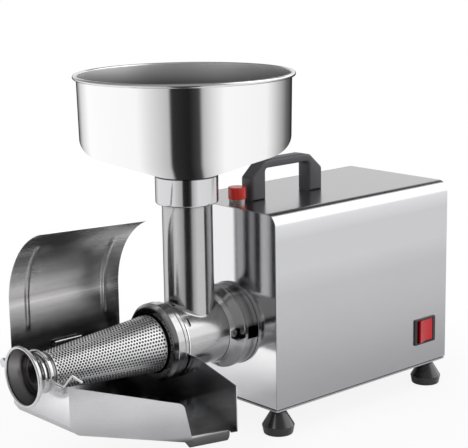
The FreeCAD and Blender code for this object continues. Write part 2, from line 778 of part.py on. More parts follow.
def handle():
    front = depth(HANDLE_FRONT)
    back = front + HANDLE_LENGTH
    top = COVER_TOP + HANDLE_HEIGHT
    under = top - HANDLE_GRIP
    edge = HANDLE_EDGE
    reach = HANDLE_CHAMFER_LONG
    drop = HANDLE_CHAMFER_TALL
    outline = [
        (front, COVER_TOP), (front + HANDLE_LEG, COVER_TOP), (front + HANDLE_LEG, under, HANDLE_CORNER),
        (back - HANDLE_LEG, under, HANDLE_CORNER), (back - HANDLE_LEG, COVER_TOP), (back, COVER_TOP),
        (back, top - drop, edge), (back - reach, top - edge, edge),
        (back - reach - HANDLE_CROWN, top, edge * 2), (front + reach + HANDLE_CROWN, top, edge * 2),
        (front + reach, top - edge, edge), (front, top - drop, edge),
    ]
    bridge = plate_yz(outline, -HANDLE_WIDTH / 2, HANDLE_WIDTH)
    hole = (COVER_TOP - OVERRUN, COVER_TOP + HANDLE_SCREW_LENGTH)
    for leg in handle_legs():
        bridge = bridge.cut(rod_z(0, depth(leg), *hole, HANDLE_SCREW_R))
    return bridge


def handle_screws():
    """Two screws from inside the cover up into the legs."""
    under = COVER_TOP - COVER_SHEET
    screws = []
    for leg in handle_legs():
        shank = rod_z(0, depth(leg), under, COVER_TOP + HANDLE_SCREW_LENGTH - 1, HANDLE_SCREW_R)
        head = rod_z(0, depth(leg), under - 3, under, 2 * HANDLE_SCREW_R)
        screws.append(shank.fuse(head).removeSplitter())
    return Part.makeCompound(screws)


# ---------------------------------------------------------------- push button
def cap_ceiling():
    """Height of the ceiling inside the cap, at rest."""
    return COVER_TOP + BUTTON_BASE_SHOWS + BUTTON_SKIRT


def button_base():
    ring_top = cap_ceiling() - BUTTON_TRAVEL - SLIP
    outer = BUTTON_CAP_R - BUTTON_WALL - RUNNING
    y = depth(BUTTON_DEPTH)
    ring = rod_z(0, y, COVER_TOP, ring_top, outer)
    ring = ring.cut(rod_z(0, y, COVER_TOP + BUTTON_FLOOR, ring_top + OVERRUN, BUTTON_SPRING_ROOM_R))
    return ring.cut(rod_z(0, y, COVER_TOP - OVERRUN, ring_top, BUTTON_STEM_R + RUNNING))


def button_cap():
    ceiling = cap_ceiling()
    edge = ceiling - BUTTON_SKIRT
    y = depth(BUTTON_DEPTH)
    top = COVER_TOP + BUTTON_HEIGHT
    room = BUTTON_CAP_R - BUTTON_WALL
    outline = [
        (0, top), (BUTTON_CAP_R, top, BUTTON_WALL), (BUTTON_CAP_R, edge), (room, edge), (room, ceiling),
        (BUTTON_STEM_R, ceiling), (BUTTON_STEM_R, stem_end()), (0, stem_end()),
    ]
    return turned_z(outline, 0, y)


def stem_end():
    """Height of the lower end of the button's stem at rest."""
    return COVER_TOP - COVER_SHEET - SWITCH_BLOCK_HEIGHT / 3


def button_spring():
    """Compression spring between the base ring's floor and the cap's ceiling."""
    half = SPRING_WIRE / 2
    low = COVER_TOP + BUTTON_FLOOR + half + SLIP
    high = cap_ceiling() - half - SLIP
    helix = Part.makeLongHelix((high - low) / SPRING_TURNS, high - low, SPRING_R)
    signs = ((-1, -1), (1, -1), (1, 1), (-1, 1))
    section = rounded_wire([(SPRING_R + a * half, b * half) for a, b in signs], xz)
    coil = Part.Wire(helix).makePipeShell([section], True, True)
    coil.translate(Vector(0, depth(BUTTON_DEPTH), low))
    return coil


def switch_block():
    """Momentary switch under the push button, hung from the cover."""
    under = COVER_TOP - COVER_SHEET
    half = SWITCH_BLOCK_WIDTH / 2
    y = depth(BUTTON_DEPTH)
    body = block(-half, half, y - half, y + half, under - SWITCH_BLOCK_HEIGHT, under)
    return body.cut(rod_z(0, y, stem_end() - BUTTON_TRAVEL - SLIP, under + OVERRUN, BUTTON_STEM_R + RUNNING))


# ---------------------------------------------------------------- rocker switch
def rocker_middle():
    return depth(ROCKER_DEPTH), COVER_FOOT + ROCKER_Z


def switch_bezel():
    y, z = rocker_middle()
    side = COVER_WIDTH / 2
    half_y = BEZEL_LENGTH / 2
    half_z = BEZEL_HEIGHT / 2
    frame = [
        (y - half_y, z - half_z, 1.5), (y + half_y, z - half_z, 1.5),
        (y + half_y, z + half_z, 1.5), (y - half_y, z + half_z, 1.5),
    ]
    bezel = plate_yz(frame, side, BEZEL_PROUD)
    bezel = bezel.fuse(plate_yz(switch_hole(0), side - BEZEL_BODY, BEZEL_BODY))
    room_y = half_y - BEZEL_FRAME
    room_z = half_z - BEZEL_FRAME_TALL
    floor = side - BEZEL_BODY + OVERRUN
    mouth = side + BEZEL_PROUD + OVERRUN
    bezel = bezel.cut(block(floor, mouth, y - room_y, y + room_y, z - room_z, z + room_z))
    pivot = side + BEZEL_PROUD - ROCKER_PIVOT
    pin = rod_z(pivot, y, z - room_z - 1, z + room_z + 1, ROCKER_PIN_R + RUNNING)
    return bezel.cut(pin).removeSplitter()


def switch_rocker():
    """Rocker with a dished face, tilted so that its rear end stands proud."""
    y, z = rocker_middle()
    face = COVER_WIDTH / 2 + BEZEL_PROUD
    pivot = Vector(face - ROCKER_PIVOT, y, 0)
    half_y = BEZEL_LENGTH / 2 - BEZEL_FRAME - LOOSE - 0.5
    half_z = BEZEL_HEIGHT / 2 - BEZEL_FRAME_TALL - LOOSE
    outer = face + ROCKER_PROUD
    back = face - ROCKER_PIVOT - 3
    corners = [Vector(back, y - half_y * 0.45, 0), Vector(back, y + half_y * 0.45, 0)]
    corners += [Vector(outer, y + half_y, 0), Vector(outer - ROCKER_DISH, y, 0), Vector(outer, y - half_y, 0)]
    edges = [
        Part.LineSegment(corners[0], corners[1]).toShape(),
        Part.LineSegment(corners[1], corners[2]).toShape(),
        Part.Arc(corners[2], corners[3], corners[4]).toShape(),
        Part.LineSegment(corners[4], corners[0]).toShape(),
    ]
    rocker = Part.Face(Part.Wire(edges)).extrude(Z_AXIS * (2 * half_z))
    rocker.translate(Z_AXIS * (z - half_z))
    rocker.rotate(pivot, Z_AXIS, ROCKER_TILT)
    reach = BEZEL_HEIGHT / 2 - BEZEL_FRAME_TALL + 1 - SLIP
    return rocker.fuse(rod_z(pivot.x, y, z - reach, z + reach, ROCKER_PIN_R)).removeSplitter()


# ---------------------------------------------------------------- gearbox
def gearbox_circles(extra):
    """Centres and radii (x, z, r) of the three bays of the gearbox, grown by extra."""
    output = OUTPUT_MODULE * (OUTPUT_TEETH / 2 + ADDENDUM) + GEARBOX_GAP
    lay = INPUT_MODULE * (LAY_GEAR_TEETH / 2 + ADDENDUM) + GEARBOX_GAP
    motor = INPUT_MODULE * (MOTOR_PINION_TEETH / 2 + ADDENDUM) + GEARBOX_GAP
    return [(0, DRIVE_Z, output + extra), (LAY_X, LAY_Z, lay + extra), (0, MOTOR_Z, motor + extra)]


def gearbox_bays(y0, y1, extra):
    return fused([rod_y(x, z, y0, y1, r) for x, z, r in gearbox_circles(extra)])


def gearbox_case():
    front = depth(PLATE_BACK)
    case = gearbox_bays(front, depth(GEARBOX_BACK), GEARBOX_SIDE)
    case = case.cut(gearbox_bays(front + GEARBOX_WALL, depth(GEARBOX_BACK) + OVERRUN, 0))
    inside = front + GEARBOX_WALL + OVERRUN
    case = case.cut(rod_y(0, DRIVE_Z, front - OVERRUN, inside, OUTPUT_SHAFT_R + BEARING_WALL))
    seat = front + GEARBOX_WALL - BEARING_SEAT
    case = case.cut(rod_y(LAY_X, LAY_Z, seat, inside, LAY_SHAFT_R + RUNNING))
    for x, z in hub_screws_places():
        case = case.cut(rod_y(x, z, front - OVERRUN, front + BEARING_SEAT, GEARBOX_SCREW_R))
    return case


def gearbox_cover():
    front = depth(GEARBOX_BACK)
    cover = gearbox_bays(front, depth(COVER_BACK), GEARBOX_SIDE)
    cover = cover.cut(rod_y(0, DRIVE_Z, front - OVERRUN, front + BEARING_SEAT, OUTPUT_SHAFT_R + RUNNING))
    cover = cover.cut(rod_y(LAY_X, LAY_Z, front - OVERRUN, front + BEARING_SEAT, LAY_SHAFT_R + RUNNING))
    through = (front - OVERRUN, depth(COVER_BACK) + OVERRUN)
    return cover.cut(rod_y(0, MOTOR_Z, *through, ROTOR_SHAFT_R + LOOSE))


def output_bearing():
    front = depth(PLATE_BACK)
    outer = OUTPUT_SHAFT_R + BEARING_WALL
    return ring_y(0, DRIVE_Z, front, front + GEARBOX_WALL, outer, OUTPUT_SHAFT_R + RUNNING)


def output_shaft():
    rear = depth(GEARBOX_BACK) + BEARING_SEAT - SLIP
    shaft = rod_y(0, DRIVE_Z, station(HUB_LENGTH + HUB_SPIGOT), rear, OUTPUT_SHAFT_R)
    tip = station(HUB_LENGTH + HUB_SPIGOT + DRIVE_LENGTH)
    return shaft.fuse(hexagon_rod_y(DRIVE_FLATS, tip, station(HUB_LENGTH))).removeSplitter()


def output_gear():
    angle = gear_angles()[0]
    start = depth(OUTPUT_GEAR_DEPTH)
    return gear(OUTPUT_MODULE, OUTPUT_TEETH, angle, 0, DRIVE_Z, start, OUTPUT_GEAR_WIDTH, OUTPUT_SHAFT_R)


def layshaft():
    """Layshaft with its pinion cut in one piece."""
    front = depth(PLATE_BACK + GEARBOX_WALL) - BEARING_SEAT + SLIP
    rear = depth(GEARBOX_BACK) + BEARING_SEAT - SLIP
    start = depth(OUTPUT_GEAR_DEPTH) - 1
    width = OUTPUT_GEAR_WIDTH + 2
    pinion = gear(OUTPUT_MODULE, LAY_PINION_TEETH, gear_angles()[1], LAY_X, LAY_Z, start, width, 0)
    return rod_y(LAY_X, LAY_Z, front, rear, LAY_SHAFT_R).fuse(pinion).removeSplitter()


def layshaft_gear():
    angle = gear_angles()[2]
    start = depth(LAY_GEAR_DEPTH)
    return gear(INPUT_MODULE, LAY_GEAR_TEETH, angle, LAY_X, LAY_Z, start, LAY_GEAR_WIDTH, LAY_SHAFT_R)


# ---------------------------------------------------------------- motor
def motor_case():
    return ring_y(0, MOTOR_Z, depth(MOTOR_DEPTH), depth(MOTOR_BACK), MOTOR_R, MOTOR_R - MOTOR_WALL)


def motor_cap(front):
    """End cap of the motor, with a seat for its bearing on the inner side."""
    start = depth(COVER_BACK if front else MOTOR_BACK)
    end = start + MOTOR_CAP
    cap = rod_y(0, MOTOR_Z, start, end, MOTOR_R)
    cap = cap.cut(rod_y(0, MOTOR_Z, start - OVERRUN, end + OVERRUN, ROTOR_SHAFT_R + LOOSE))
    seat = (end - BEARING_SEAT * 2, end + OVERRUN) if front else (start - OVERRUN, start + BEARING_SEAT * 2)
    return cap.cut(rod_y(0, MOTOR_Z, *seat, MOTOR_BEARING_R))


def motor_bearing(front):
    start = depth(MOTOR_DEPTH) - BEARING_SEAT * 2 if front else depth(MOTOR_BACK)
    return ring_y(0, MOTOR_Z, start, start + BEARING_SEAT * 2, MOTOR_BEARING_R, ROTOR_SHAFT_R + RUNNING)


def stator_start():
    return depth(MOTOR_DEPTH) + (MOTOR_LENGTH - STATOR_LENGTH) / 2


def stator_core():
    start = stator_start()
    return ring_y(0, MOTOR_Z, start, start + STATOR_LENGTH, MOTOR_R - MOTOR_WALL, ROTOR_R + AIR_GAP)


def stator_windings():
    """The two heads of the winding, one at each end of the core."""
    start = stator_start()
    outer = MOTOR_R - MOTOR_WALL - 4
    inner = ROTOR_R + AIR_GAP + 3
    heads = [
        ring_y(0, MOTOR_Z, start - WINDING_LENGTH, start, outer, inner),
        ring_y(0, MOTOR_Z, start + STATOR_LENGTH, start + STATOR_LENGTH + WINDING_LENGTH, outer, inner),
    ]
    return Part.makeCompound(heads)


def rotor_shaft():
    """Rotor shaft from the pinion in the gearbox to the fan."""
    pinion_start = depth(LAY_GEAR_DEPTH) - 1
    rear = depth(FAN_DEPTH) + FAN_WIDTH + 2
    angle = gear_angles()[3]
    width = LAY_GEAR_WIDTH + 2
    pinion = gear(INPUT_MODULE, MOTOR_PINION_TEETH, angle, 0, MOTOR_Z, pinion_start, width, 0)
    shaft = rod_y(0, MOTOR_Z, pinion_start + 1, rear, ROTOR_SHAFT_R)
    return shaft.fuse(pinion).removeSplitter()


def rotor_core():
    start = stator_start() + (STATOR_LENGTH - ROTOR_LENGTH) / 2
    return ring_y(0, MOTOR_Z, start, start + ROTOR_LENGTH, ROTOR_R, ROTOR_SHAFT_R)


def motor_fan():
    start = depth(FAN_DEPTH)
    pieces = [rod_y(0, MOTOR_Z, start, start + FAN_WIDTH, FAN_HUB_R)]
    pieces.append(rod_y(0, MOTOR_Z, start, start + FAN_BLADE, FAN_R))
    half = FAN_BLADE / 2
    for blade in range(FAN_BLADES):
        vane = block(FAN_HUB_R - 1, FAN_R, start, start + FAN_WIDTH, MOTOR_Z - half, MOTOR_Z + half)
        vane.rotate(Vector(0, 0, MOTOR_Z), Y_AXIS, 360.0 * blade / FAN_BLADES)
        pieces.append(vane)
    bore = rod_y(0, MOTOR_Z, start - OVERRUN, start + FAN_WIDTH + OVERRUN, ROTOR_SHAFT_R)
    return fused(pieces).cut(bore)


def motor_cradle():
    """Folded bracket on the base plate that carries the motor."""
    half = CRADLE_WIDTH / 2
    middle = depth((MOTOR_DEPTH + MOTOR_BACK) / 2)
    y0 = middle - CRADLE_LENGTH / 2
    top = MOTOR_Z
    path = [(half, top), (half, BASE_TOP), (-half, BASE_TOP), (-half, top)]
    channel = plate_xz(sheet_outline(path[::-1], CRADLE_SHEET), y0, CRADLE_LENGTH)
    saddle_top = MOTOR_Z - MOTOR_R * CRADLE_WRAP
    for end in (y0, y0 + CRADLE_LENGTH - CRADLE_SHEET):
        channel = channel.fuse(block(-half, half, end, end + CRADLE_SHEET, BASE_TOP, saddle_top))
    channel = channel.cut(rod_y(0, MOTOR_Z, y0 - OVERRUN, y0 + CRADLE_LENGTH + OVERRUN, MOTOR_R))
    return channel.removeSplitter()


def capacitor():
    z = BASE_TOP + CAPACITOR_STRAP + CAPACITOR_R
    start = depth(rear_face() - REAR_PLATE - CAPACITOR_LENGTH - CAPACITOR_BEHIND)
    can = rod_y(CAPACITOR_X, z, start, start + CAPACITOR_LENGTH, CAPACITOR_R)
    half = CAPACITOR_R / 2
    ends = (start + half, start + CAPACITOR_LENGTH - half)
    saddle = block(CAPACITOR_X - half, CAPACITOR_X + half, *ends, BASE_TOP, z - CAPACITOR_R * 0.8)
    return can.fuse(saddle).removeSplitter()


# ---------------------------------------------------------------- nose and strainer body
def nose_hub():
    tail = PLATE_BACK
    outline = [
        (BUSH_R, -tail), (HUB_TAIL_R, -tail), (HUB_TAIL_R, -FRONT_PLATE_INSET), (HUB_R, -FRONT_PLATE_INSET),
        (HUB_R, HUB_LENGTH, 1.0), (HUB_SPIGOT_R, HUB_LENGTH), (HUB_SPIGOT_R, HUB_LENGTH + HUB_SPIGOT, 1.0),
        (BUSH_R, HUB_LENGTH + HUB_SPIGOT),
    ]
    hub = turned_nose(outline)
    half = NOTCH_HEIGHT / 2
    ends = (station(HUB_LENGTH + OVERRUN), depth(FRONT_PLATE_INSET))
    notch = block(HUB_R - NOTCH_DEPTH, HUB_R + OVERRUN, *ends, DRIVE_Z - half, DRIVE_Z + half)
    hub = hub.cut(notch)
    for x, z in hub_screws_places():
        ends = (station(HUB_LENGTH + HUB_SPIGOT + OVERRUN), depth(tail) + OVERRUN)
        hub = hub.cut(rod_y(x, z, *ends, GEARBOX_SCREW_R))
    return hub


def hub_screws():
    """Four countersunk screws from the hub's face into the gearbox."""
    start = station(HUB_LENGTH + HUB_SPIGOT) + 1
    end = depth(PLATE_BACK) + BEARING_SEAT - SLIP
    return Part.makeCompound([rod_y(x, z, start, end, GEARBOX_SCREW_R) for x, z in hub_screws_places()])


def nose_bush():
    ends = (station(HUB_LENGTH + HUB_SPIGOT), depth(PLATE_BACK))
    return ring_y(0, DRIVE_Z, *ends, BUSH_R, OUTPUT_SHAFT_R + RUNNING)


def body_outline():
    """Outer outline of the strainer body, from the hub to the end of the thread."""
    thread_end = STATION_SCREEN - RING_NUT_LIP - SCREEN_FLANGE
    return [
        (BODY_FLANGE_R, HUB_LENGTH, 0.8), (BODY_FLANGE_R, STATION_FLANGE, 2.0),
        (FLARE_R + 2.5, STATION_FLANGE + FLARE_LENGTH * 0.55, 8.0), (FLARE_R, STATION_FLARE),
        (BARREL_R, STATION_FLARE), (BARREL_R, STATION_STOP),
        (STOP_R, STATION_STOP, 0.8), (STOP_R, STATION_NUT, 0.8),
        (BARREL_R - SLIP, STATION_NUT), (BARREL_R - SLIP, thread_end),
    ]


def strainer_body():
    thread_end = STATION_SCREEN - RING_NUT_LIP - SCREEN_FLANGE
    back = HUB_LENGTH + HUB_SPIGOT + SLIP
    bore_start = back + BODY_BACK
    tube_top = COLLAR_FOOT + COLLAR_ENGAGED
    y = station(FEED_STATION)
    barrel = rod_y(0, DRIVE_Z, station(STATION_STOP), station(STATION_FLANGE), BARREL_R)
    tee = barrel.fuse(rod_z(0, y, DRIVE_Z, tube_top, FEED_R))
    tee = tee.makeFillet(FEED_FILLET, [edge for edge in tee.Edges if feed_joint(edge)])
    body = tee.fuse(turned_nose([(0, HUB_LENGTH)] + body_outline() + [(0, thread_end)]))
    body = body.cut(rod_y(0, DRIVE_Z, station(thread_end + OVERRUN), station(bore_start), BARREL_BORE_R))
    body = body.cut(rod_y(0, DRIVE_Z, station(back), station(HUB_LENGTH) + OVERRUN, HUB_SPIGOT_R + RUNNING))
    body = body.cut(rod_y(0, DRIVE_Z, station(bore_start) - OVERRUN, station(back) + OVERRUN, SEAL_R))
    body = body.cut(rod_z(0, y, DRIVE_Z, tube_top + OVERRUN, FEED_BORE_R))
    body = body.cut(locking_pocket())
    for mark in barrel_marks():
        body = body.cut(mark)
    return body


def feed_joint(edge):
    """True for an edge of the curve where the feed tube meets the barrel."""
    box = edge.BoundBox
    centre = Vector(0, station(FEED_STATION), 0)
    points = edge.discretize(5)
    on_tube = all(abs(math.hypot(p.x - centre.x, p.y - centre.y) - FEED_R) < 0.01 for p in points)
    return on_tube and box.ZMax < DRIVE_Z + BARREL_R + 1 and box.ZLength > 1


def locking_pocket():
    """Hexagonal pocket in the flare, with the threaded hole of the locking screw."""
    y = station(POCKET_STATION)
    outline = [(y + v, DRIVE_Z + u) for u, v in hexagon(POCKET_FLATS)]
    pocket = plate_yz(outline, POCKET_FLOOR_R, BODY_FLANGE_R)
    return pocket.fuse(rod_x(y, DRIVE_Z, HUB_SPIGOT_R, POCKET_FLOOR_R + OVERRUN, LOCK_SCREW_R))


def locking_screw():
    """Set screw at the bottom of the pocket, with a hexagonal key hole."""
    y = station(POCKET_STATION)
    screw = rod_x(y, DRIVE_Z, HUB_SPIGOT_R + RUNNING, POCKET_FLOOR_R + 1, LOCK_SCREW_R)
    outline = [(y + v, DRIVE_Z + u) for u, v in hexagon(LOCK_SCREW_KEY)]
    return screw.cut(plate_yz(outline, POCKET_FLOOR_R - 3, 3 + OVERRUN))


def barrel_marks():
    """Two shallow oval recesses on the shoulder of the barrel, beside the feed tube."""
    marks = []
    for side in (-1, 1):
        mark = plate_xy(slot(0, 0, MARK_LENGTH, MARK_WIDTH), BARREL_R - MARK_SINK, MARK_SINK + OVERRUN)
        mark.rotate(Vector(0, 0, 0), Y_AXIS, MARK_ANGLE + side * MARK_TURN / 2)
        mark.translate(Vector(0, station(MARK_STATION), DRIVE_Z))
        marks.append(mark)
    return marks


def shaft_seal():
    back = HUB_LENGTH + HUB_SPIGOT + SLIP
    return ring_y(0, DRIVE_Z, station(back + BODY_BACK), station(back), SEAL_R, seal_bore())


def seal_bore():
    """Bore of the seal round the auger's shank."""
    return AUGER_CORE_REAR_R + RUNNING


def ring_nut():
    inner = BARREL_R + RUNNING
    lip_back = STATION_SCREEN - RING_NUT_LIP
    outline = [
        (inner, STATION_NUT + SLIP), (NUT_OUTER_R, STATION_NUT + SLIP, RING_NUT_EDGE),
        (NUT_OUTER_R, STATION_SCREEN - NUT_TAPER, RING_NUT_EDGE), (NUT_FRONT_R, STATION_SCREEN, RING_NUT_EDGE),
        (SCREEN_REAR_R + SLIP, STATION_SCREEN, RING_NUT_EDGE),
        (SCREEN_REAR_R + 1.0, lip_back + SLIP), (inner, lip_back + SLIP),
    ]
    return turned_nose(outline)


# ---------------------------------------------------------------- screen, outlet and auger
def screen_radius(distance):
    """Outer radius of the screen's cone at a station."""
    share = (distance - STATION_SCREEN) / SCREEN_LENGTH
    return SCREEN_REAR_R + (SCREEN_FRONT_R - SCREEN_REAR_R) * share


def filter_screen():
    flange_back = STATION_SCREEN - RING_NUT_LIP - SCREEN_FLANGE
    flange_front = STATION_SCREEN - RING_NUT_LIP
    rear = screen_radius(flange_back)
    outline = [
        (rear - SCREEN_SHEET, flange_back), (BARREL_R - SLIP, flange_back), (BARREL_R - SLIP, flange_front),
        (screen_radius(flange_front), flange_front), (SCREEN_FRONT_R, STATION_RING),
        (SCREEN_FRONT_R - SCREEN_SHEET, STATION_RING),
    ]
    return turned_nose(outline)


def screen_end_ring():
    outline = [
        (END_RING_BORE_R, STATION_RING), (END_RING_R, STATION_RING), (END_RING_R, STATION_NECK, 0.5),
        (END_RING_BORE_R, STATION_NECK),
    ]
    return turned_nose(outline)


def waste_outlet():
    """Flared outlet that slips over the end ring, with a rolled rim."""
    inner = END_RING_R
    outer = inner + OUTLET_SHEET
    start = STATION_NECK - END_RING_SLEEVE
    bend = STATION_NECK + OUTLET_NECK
    face = STATION_MOUTH - OUTLET_BEAD_R
    mouth = OUTLET_MOUTH_R
    outline = [
        (inner, start), (outer, start), (outer, bend, OUTLET_NECK_BEND),
        (mouth, face - 3, OUTLET_LIP_BEND), (mouth, face), (mouth - OUTLET_SHEET, face),
        (mouth - OUTLET_SHEET, face - 2.4, OUTLET_LIP_BEND - OUTLET_SHEET),
        (inner, bend + 0.6, OUTLET_NECK_BEND + OUTLET_SHEET),
    ]
    bead = Part.makeTorus(mouth - OUTLET_SHEET / 2, OUTLET_BEAD_R, Vector(0, station(face), DRIVE_Z), Y_AXIS)
    return turned_nose(outline).fuse(bead).removeSplitter()


def auger_start():
    return HUB_LENGTH + HUB_SPIGOT + 2 * SLIP


def flight(length, rear_r, front_r, lead):
    """Blade of a screw along +Z, its edge going from rear_r to front_r, turned as if lead had gone before."""
    lean = math.degrees(math.atan2(rear_r - front_r, length))
    helix = Part.makeLongHelix(AUGER_PITCH, length, rear_r, -lean)
    inner = rear_r - AUGER_BLADE
    half = AUGER_FLIGHT / 2
    section = rounded_wire([(inner, -half), (rear_r, -half), (rear_r, half), (inner, half)], xz)
    blade = Part.Wire(helix).makePipeShell([section], True, True)
    blade.rotate(Vector(0, 0, 0), Z_AXIS, 360 * lead / AUGER_PITCH)
    blade.translate(Z_AXIS * lead)
    return blade


def auger_shoulder():
    """Station at which the auger's core starts to taper and its flight begins."""
    return auger_start() + BODY_BACK + AUGER_GAP


def auger_core():
    """Tapered core, with the socket of the drive in its rear end."""
    start = auger_start()
    tip = STATION_RING + AUGER_TIP
    core = turned_nose([
        (0, start), (AUGER_CORE_REAR_R, start), (AUGER_CORE_REAR_R, auger_shoulder()),
        (AUGER_CORE_FRONT_R, STATION_RING - AUGER_FLIGHT, 3.0), (AUGER_CORE_FRONT_R - 2, tip, 1.5), (0, tip),
    ])
    socket_end = station(start + DRIVE_LENGTH + SLIP)
    return core.cut(hexagon_rod_y(DRIVE_FLATS + 2 * SLIP, socket_end, station(start) + OVERRUN))


def auger_flight():
    """Flight round the core; its edge follows the barrel and then the screen."""
    shoulder = auger_shoulder()
    front_end = STATION_RING - AUGER_FLIGHT
    change = STATION_SCREEN - RING_NUT_LIP - SCREEN_FLANGE - AUGER_FLIGHT
    inside = SCREEN_SHEET + AUGER_GAP
    barrel_r = BARREL_BORE_R - AUGER_GAP
    flight_start = shoulder + AUGER_FLIGHT / 2
    rear = change - flight_start
    front = front_end - AUGER_FLIGHT - change
    front_radii = [screen_radius(d) - inside - AUGER_FLIGHT / 10 for d in (change, change + front)]
    blades = [flight(rear, barrel_r, barrel_r, 0), flight(front, *front_radii, rear)]
    for blade in blades:
        blade.rotate(Vector(0, 0, 0), X_AXIS, 90)
        blade.translate(Vector(0, station(flight_start), DRIVE_Z))
    return blades[0].fuse(blades[1]).cut(auger_core())


# ---------------------------------------------------------------- hopper
def hopper_collar():
    y = station(FEED_STATION)
    shoulder = COLLAR_FOOT + COLLAR_ENGAGED + SLIP
    outline = [
        (FEED_R + RUNNING, COLLAR_FOOT), (COLLAR_R, COLLAR_FOOT, COLLAR_EDGE), (COLLAR_R, COLLAR_TOP, 0.8),
        (FEED_BORE_R, COLLAR_TOP), (FEED_BORE_R, shoulder), (FEED_R + RUNNING, shoulder),
    ]
    return turned_z(outline, 0, y)


def hopper_foot():
    """Height at which the floor's slope would meet the wall."""
    slope = HOPPER_SLOPE_RISE / (HOPPER_SLOPE_R - COLLAR_R)
    return COLLAR_TOP + (HOPPER_R - COLLAR_R) * slope


def hopper_sheet():
    """The whole bowl, and everything below the level at which its floor and wall part."""
    y = station(FEED_STATION)
    path = [(FEED_BORE_R, COLLAR_TOP), (COLLAR_R, COLLAR_TOP, 3.0)]
    path += [(HOPPER_R - HOPPER_WALL_TAPER, hopper_foot(), HOPPER_CORNER), (HOPPER_R, RIM_TOP - BEAD_R)]
    bowl = turned_z(sheet_outline(path, HOPPER_SHEET), 0, y)
    return bowl, rod_z(0, y, 0, hopper_foot() + HOPPER_PARTING, 2 * HOPPER_R)


def hopper_floor():
    """Sloping floor of the bowl with the lower half of its rounded corner."""
    bowl, below = hopper_sheet()
    return bowl.common(below)


def hopper_wall():
    """Wall of the bowl with the upper half of its rounded corner and the rolled rim."""
    bowl, below = hopper_sheet()
    centre = Vector(0, station(FEED_STATION), RIM_TOP - BEAD_R)
    bead = Part.makeTorus(HOPPER_R - HOPPER_SHEET / 2 + BEAD_R, BEAD_R, centre, Z_AXIS)
    return bowl.cut(below).fuse(bead).removeSplitter()


# ---------------------------------------------------------------- juice tray
def tray_plan():
    """Outer outline of the tray seen from above, and the outlet's side as its fourth side."""
    front = station(TRAY_FRONT_STATION)
    rear = station(TRAY_REAR_STATION)
    near = math.radians(SPOUT_NEAR_ANGLE)
    far = math.radians(SPOUT_FAR_ANGLE)
    return [
        (-TRAY_LEFT, front),
        (TRAY_RIGHT, front),
        (TRAY_RIGHT + SPOUT_NEAR_LENGTH * math.sin(near), front + SPOUT_NEAR_LENGTH * math.cos(near)),
        (TRAY_RIGHT + SPOUT_FAR_LENGTH * math.cos(far), rear - SPOUT_FAR_LENGTH * math.sin(far)),
        (TRAY_RIGHT, rear),
        (-TRAY_LEFT, rear),
    ]


def inset(points, distances):
    """Polygon with each side, from point i to point i + 1, moved inwards by its own distance."""
    count = len(points)
    moved = []
    for index in range(count):
        lines = []
        for side in (index - 1, index):
            a = Vector(*points[side], 0)
            b = Vector(*points[(side + 1) % count], 0)
            along = (b - a).normalize()
            inward = Vector(-along.y, along.x, 0)
            lines.append((a + inward * distances[side], along))
        (p, d), (q, e) = lines
        cross = d.x * e.y - d.y * e.x
        share = ((q - p).x * e.y - (q - p).y * e.x) / cross
        corner = p + d * share
        moved.append((corner.x, corner.y))
    return moved


def above_floor(drop):
    """Everything over the tray's floor, lowered by drop: flat, then down the spout."""
    slope = math.tan(math.radians(SPOUT_SLOPE))
    far = COVER_WIDTH
    level = TRAY_FLOOR - drop
    lean = drop * (1 / math.cos(math.radians(SPOUT_SLOPE)) - 1)
    region = [
        (-far, level), (TRAY_RIGHT + 1, level), (far, level - lean - slope * (far - TRAY_RIGHT - 1)),
        (far, DRIVE_Z), (-far, DRIVE_Z),
    ]
    front = station(TRAY_FRONT_STATION + TOOL_REACH)
    solid = plate_xz(region, front, station(0) - front)
    shift = drop * 0.8
    y = station(TRAY_FRONT_STATION) - shift + TRAY_SHEET * 0.8
    z = TRAY_FLOOR - shift
    tall = TRAY_CHAMFER_TALL
    deep = TRAY_CHAMFER_DEEP
    wedge = [(y - deep, z + 2 * tall), (y + 1.5 * deep, z - tall / 2), (y - deep, z - tall)]
    return solid.cut(plate_yz(wedge, -far, 2 * far))


def side_cutter(origin, direction, points, thickness):
    """Prism that trims one wall; points are (distance along the wall, z, corner)."""
    face = Part.Face(rounded_wire(points, lambda u, v: origin + direction * u + Z_AXIS * v))
    across = direction.cross(Z_AXIS)
    face.translate(across * -thickness)
    return face.extrude(across * (2 * thickness))


